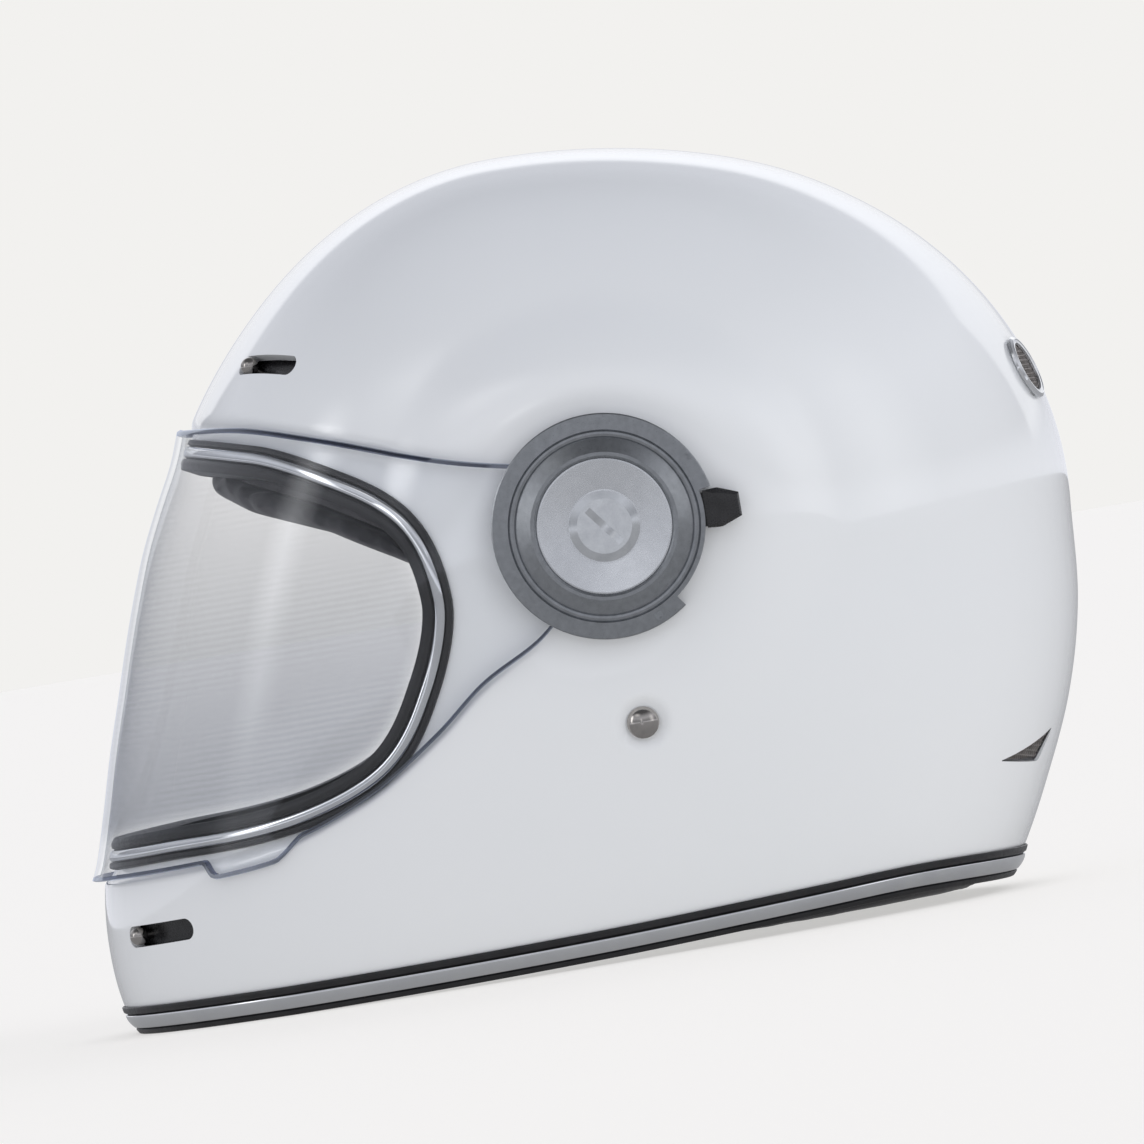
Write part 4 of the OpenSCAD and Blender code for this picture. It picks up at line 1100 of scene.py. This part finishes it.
# ---------------------------------------------------------------- floor and light
# The camera sees a plain backdrop. Diffuse rays meet soft_light, and reflections meet mirrored_light and a
# darker floor, so the gloss has something to show without greying the floor.
BACKDROP = (0.888, 0.88, 0.863, 1)
floor_mat = bpy.data.materials.new("pale_floor")
ft, fb = nodes_of(floor_mat)
FLOOR_TONE, FLOOR_GLOW = (0.45, 0.436, 0.418, 1), 0.595
MIRRORED_TONE, MIRRORED_GLOW = (0.20, 0.205, 0.22, 1), 0.24
fb.inputs["Roughness"].default_value = 0.9
fb.inputs["Specular IOR Level"].default_value = 0.1
fb.inputs["Emission Color"].default_value = BACKDROP
mirror_ray = chain(ft, "ShaderNodeLightPath").outputs["Is Glossy Ray"]
ft.links.new(ranged(ft, mirror_ray, FLOOR_GLOW, MIRRORED_GLOW, 0.0, 1.0), fb.inputs["Emission Strength"])
tone = chain(ft, "ShaderNodeMix", data_type="RGBA", A=FLOOR_TONE, B=MIRRORED_TONE)
ft.links.new(mirror_ray, tone.inputs["Factor"])
ft.links.new(tone.outputs["Result"], fb.inputs["Base Color"])
GROUND = min(0.0, float(CAD_BOX[0][2])) - 0.0001
me = bpy.data.meshes.new("floor")
corners = ((-60, -60), (60, -60), (60, 60), (-60, 60))
me.from_pydata([(x, y, GROUND) for x, y in corners], [], [(0, 1, 2, 3)])
me.materials.append(floor_mat)
link("floor", me)

world = bpy.data.worlds.new("studio")
bpy.context.scene.world = world
world.use_nodes = True
wt = world.node_tree
for n in list(wt.nodes):
    wt.nodes.remove(n)
wout = wt.nodes.new("ShaderNodeOutputWorld")
gen = chain(wt, "ShaderNodeTexCoord").outputs["Generated"]
sep = chain(wt, "ShaderNodeSeparateXYZ")
wt.links.new(gen, sep.inputs["Vector"])


def gradient(stops, tint):
    """The sky's brightness by height: each stop is the Z of a direction and a value."""
    r = chain(wt, "ShaderNodeValToRGB")
    wt.links.new(sep.outputs["Z"], r.inputs["Fac"])
    r.color_ramp.elements[0].position, r.color_ramp.elements[1].position = stops[0][0], stops[-1][0]
    for pos, _ in stops[1:-1]:
        r.color_ramp.elements.new(pos)
    for e, (_, val) in zip(r.color_ramp.elements, stops):
        e.color = (*[val * c for c in tint], 1)
    return r.outputs["Color"]


def softbox(direction, half_u, half_v, gain, tint=(1, 1, 1), soft=0.06):
    """A rectangular soft light in the sky, seen in that direction: its half sizes are tangents of angles."""
    z = Vector(direction).normalized()
    x = Vector((0, 0, 1)).cross(z)
    x = Vector((1, 0, 0)) if x.length < 0.05 else x.normalized()
    y = z.cross(x)
    def dot(axis):
        d = chain(wt, "ShaderNodeVectorMath", operation="DOT_PRODUCT")
        wt.links.new(gen, d.inputs[0])
        d.inputs[1].default_value = axis
        return d.outputs["Value"]
    def op(kind, a, b=None, clamp=False):
        n = chain(wt, "ShaderNodeMath", operation=kind, use_clamp=clamp)
        for k, s in enumerate((a, b)):
            if s is None:
                continue
            if hasattr(s, "default_value") or hasattr(s, "links"):
                wt.links.new(s, n.inputs[k])
            else:
                n.inputs[k].default_value = s
        return n.outputs["Value"]
    depth = dot(z)
    safe = op("MAXIMUM", depth, 0.001)
    masks = []
    for axis, half in ((x, half_u), (y, half_v)):
        k = op("ABSOLUTE", op("DIVIDE", dot(axis), safe))
        masks.append(op("DIVIDE", op("SUBTRACT", half, k), soft, True))
    mask = op("MULTIPLY", op("MULTIPLY", masks[0], masks[1]), op("GREATER_THAN", depth, 0.0))
    col = chain(wt, "ShaderNodeVectorMath", operation="SCALE")
    col.inputs[0].default_value = [c * gain for c in tint]
    wt.links.new(mask, col.inputs["Scale"])
    return col.outputs["Vector"]


def studio(total, boxes, strength):
    for args in boxes:
        add = chain(wt, "ShaderNodeVectorMath", operation="ADD")
        wt.links.new(total, add.inputs[0])
        wt.links.new(softbox(*args), add.inputs[1])
        total = add.outputs["Vector"]
    bg = chain(wt, "ShaderNodeBackground", Strength=strength)
    wt.links.new(total, bg.inputs["Color"])
    return bg.outputs["Background"]


TINT = (0.96, 0.98, 1.055)
soft_light = studio(gradient(((0.0, 0.98), (0.08, 0.92), (0.25, 0.92), (0.55, 0.92), (1.0, 0.86)), TINT),
                    (((1.0, 1.3, 0.5), 0.4, 0.7, 1.0), ((-1.0, 0.4, 0.6), 0.5, 0.5, 0.7)), 0.79)
mirrored_light = studio(gradient(((0.0, 1.05), (0.07, 0.90), (0.14, 0.40), (0.26, 0.55), (0.45, 0.85),
                                  (0.65, 0.60), (0.82, 0.20), (1.0, 0.16)), TINT),
                        (((0.32, -0.95, 0.42), 0.15, 0.36, 4.6, (1, 1, 1), 0.22),
                         ((0.75, -0.55, 1.0), 0.35, 0.20, 1.4, (1, 1, 1), 0.30),
                         ((0.55, 0.95, 0.25), 0.30, 0.55, 1.4, (1, 1, 1), 0.50),
                         ((0.93, -0.14, 0.32), 0.10, 0.09, 2.0, (1, 1, 1), 0.12),
                         ((0.45, -0.90, 0.05), 0.25, 0.12, 1.2, (1, 1, 1), 0.25),
                         ((-1.0, 0.2, 0.35), 0.8, 0.25, 0.7)), 0.8)
lit = chain(wt, "ShaderNodeMixShader")
wt.links.new(soft_light, lit.inputs[1])
wt.links.new(mirrored_light, lit.inputs[2])
seen = chain(wt, "ShaderNodeBackground", Color=BACKDROP, Strength=1.0)
path_ = chain(wt, "ShaderNodeLightPath")
mixw = chain(wt, "ShaderNodeMixShader")
wt.links.new(path_.outputs["Is Camera Ray"], mixw.inputs["Fac"])
wt.links.new(path_.outputs["Is Glossy Ray"], lit.inputs["Fac"])
wt.links.new(lit.outputs["Shader"], mixw.inputs[1])
wt.links.new(seen.outputs["Background"], mixw.inputs[2])
wt.links.new(mixw.outputs["Shader"], wout.inputs["Surface"])
bpy.context.scene.view_settings.view_transform = "Standard"
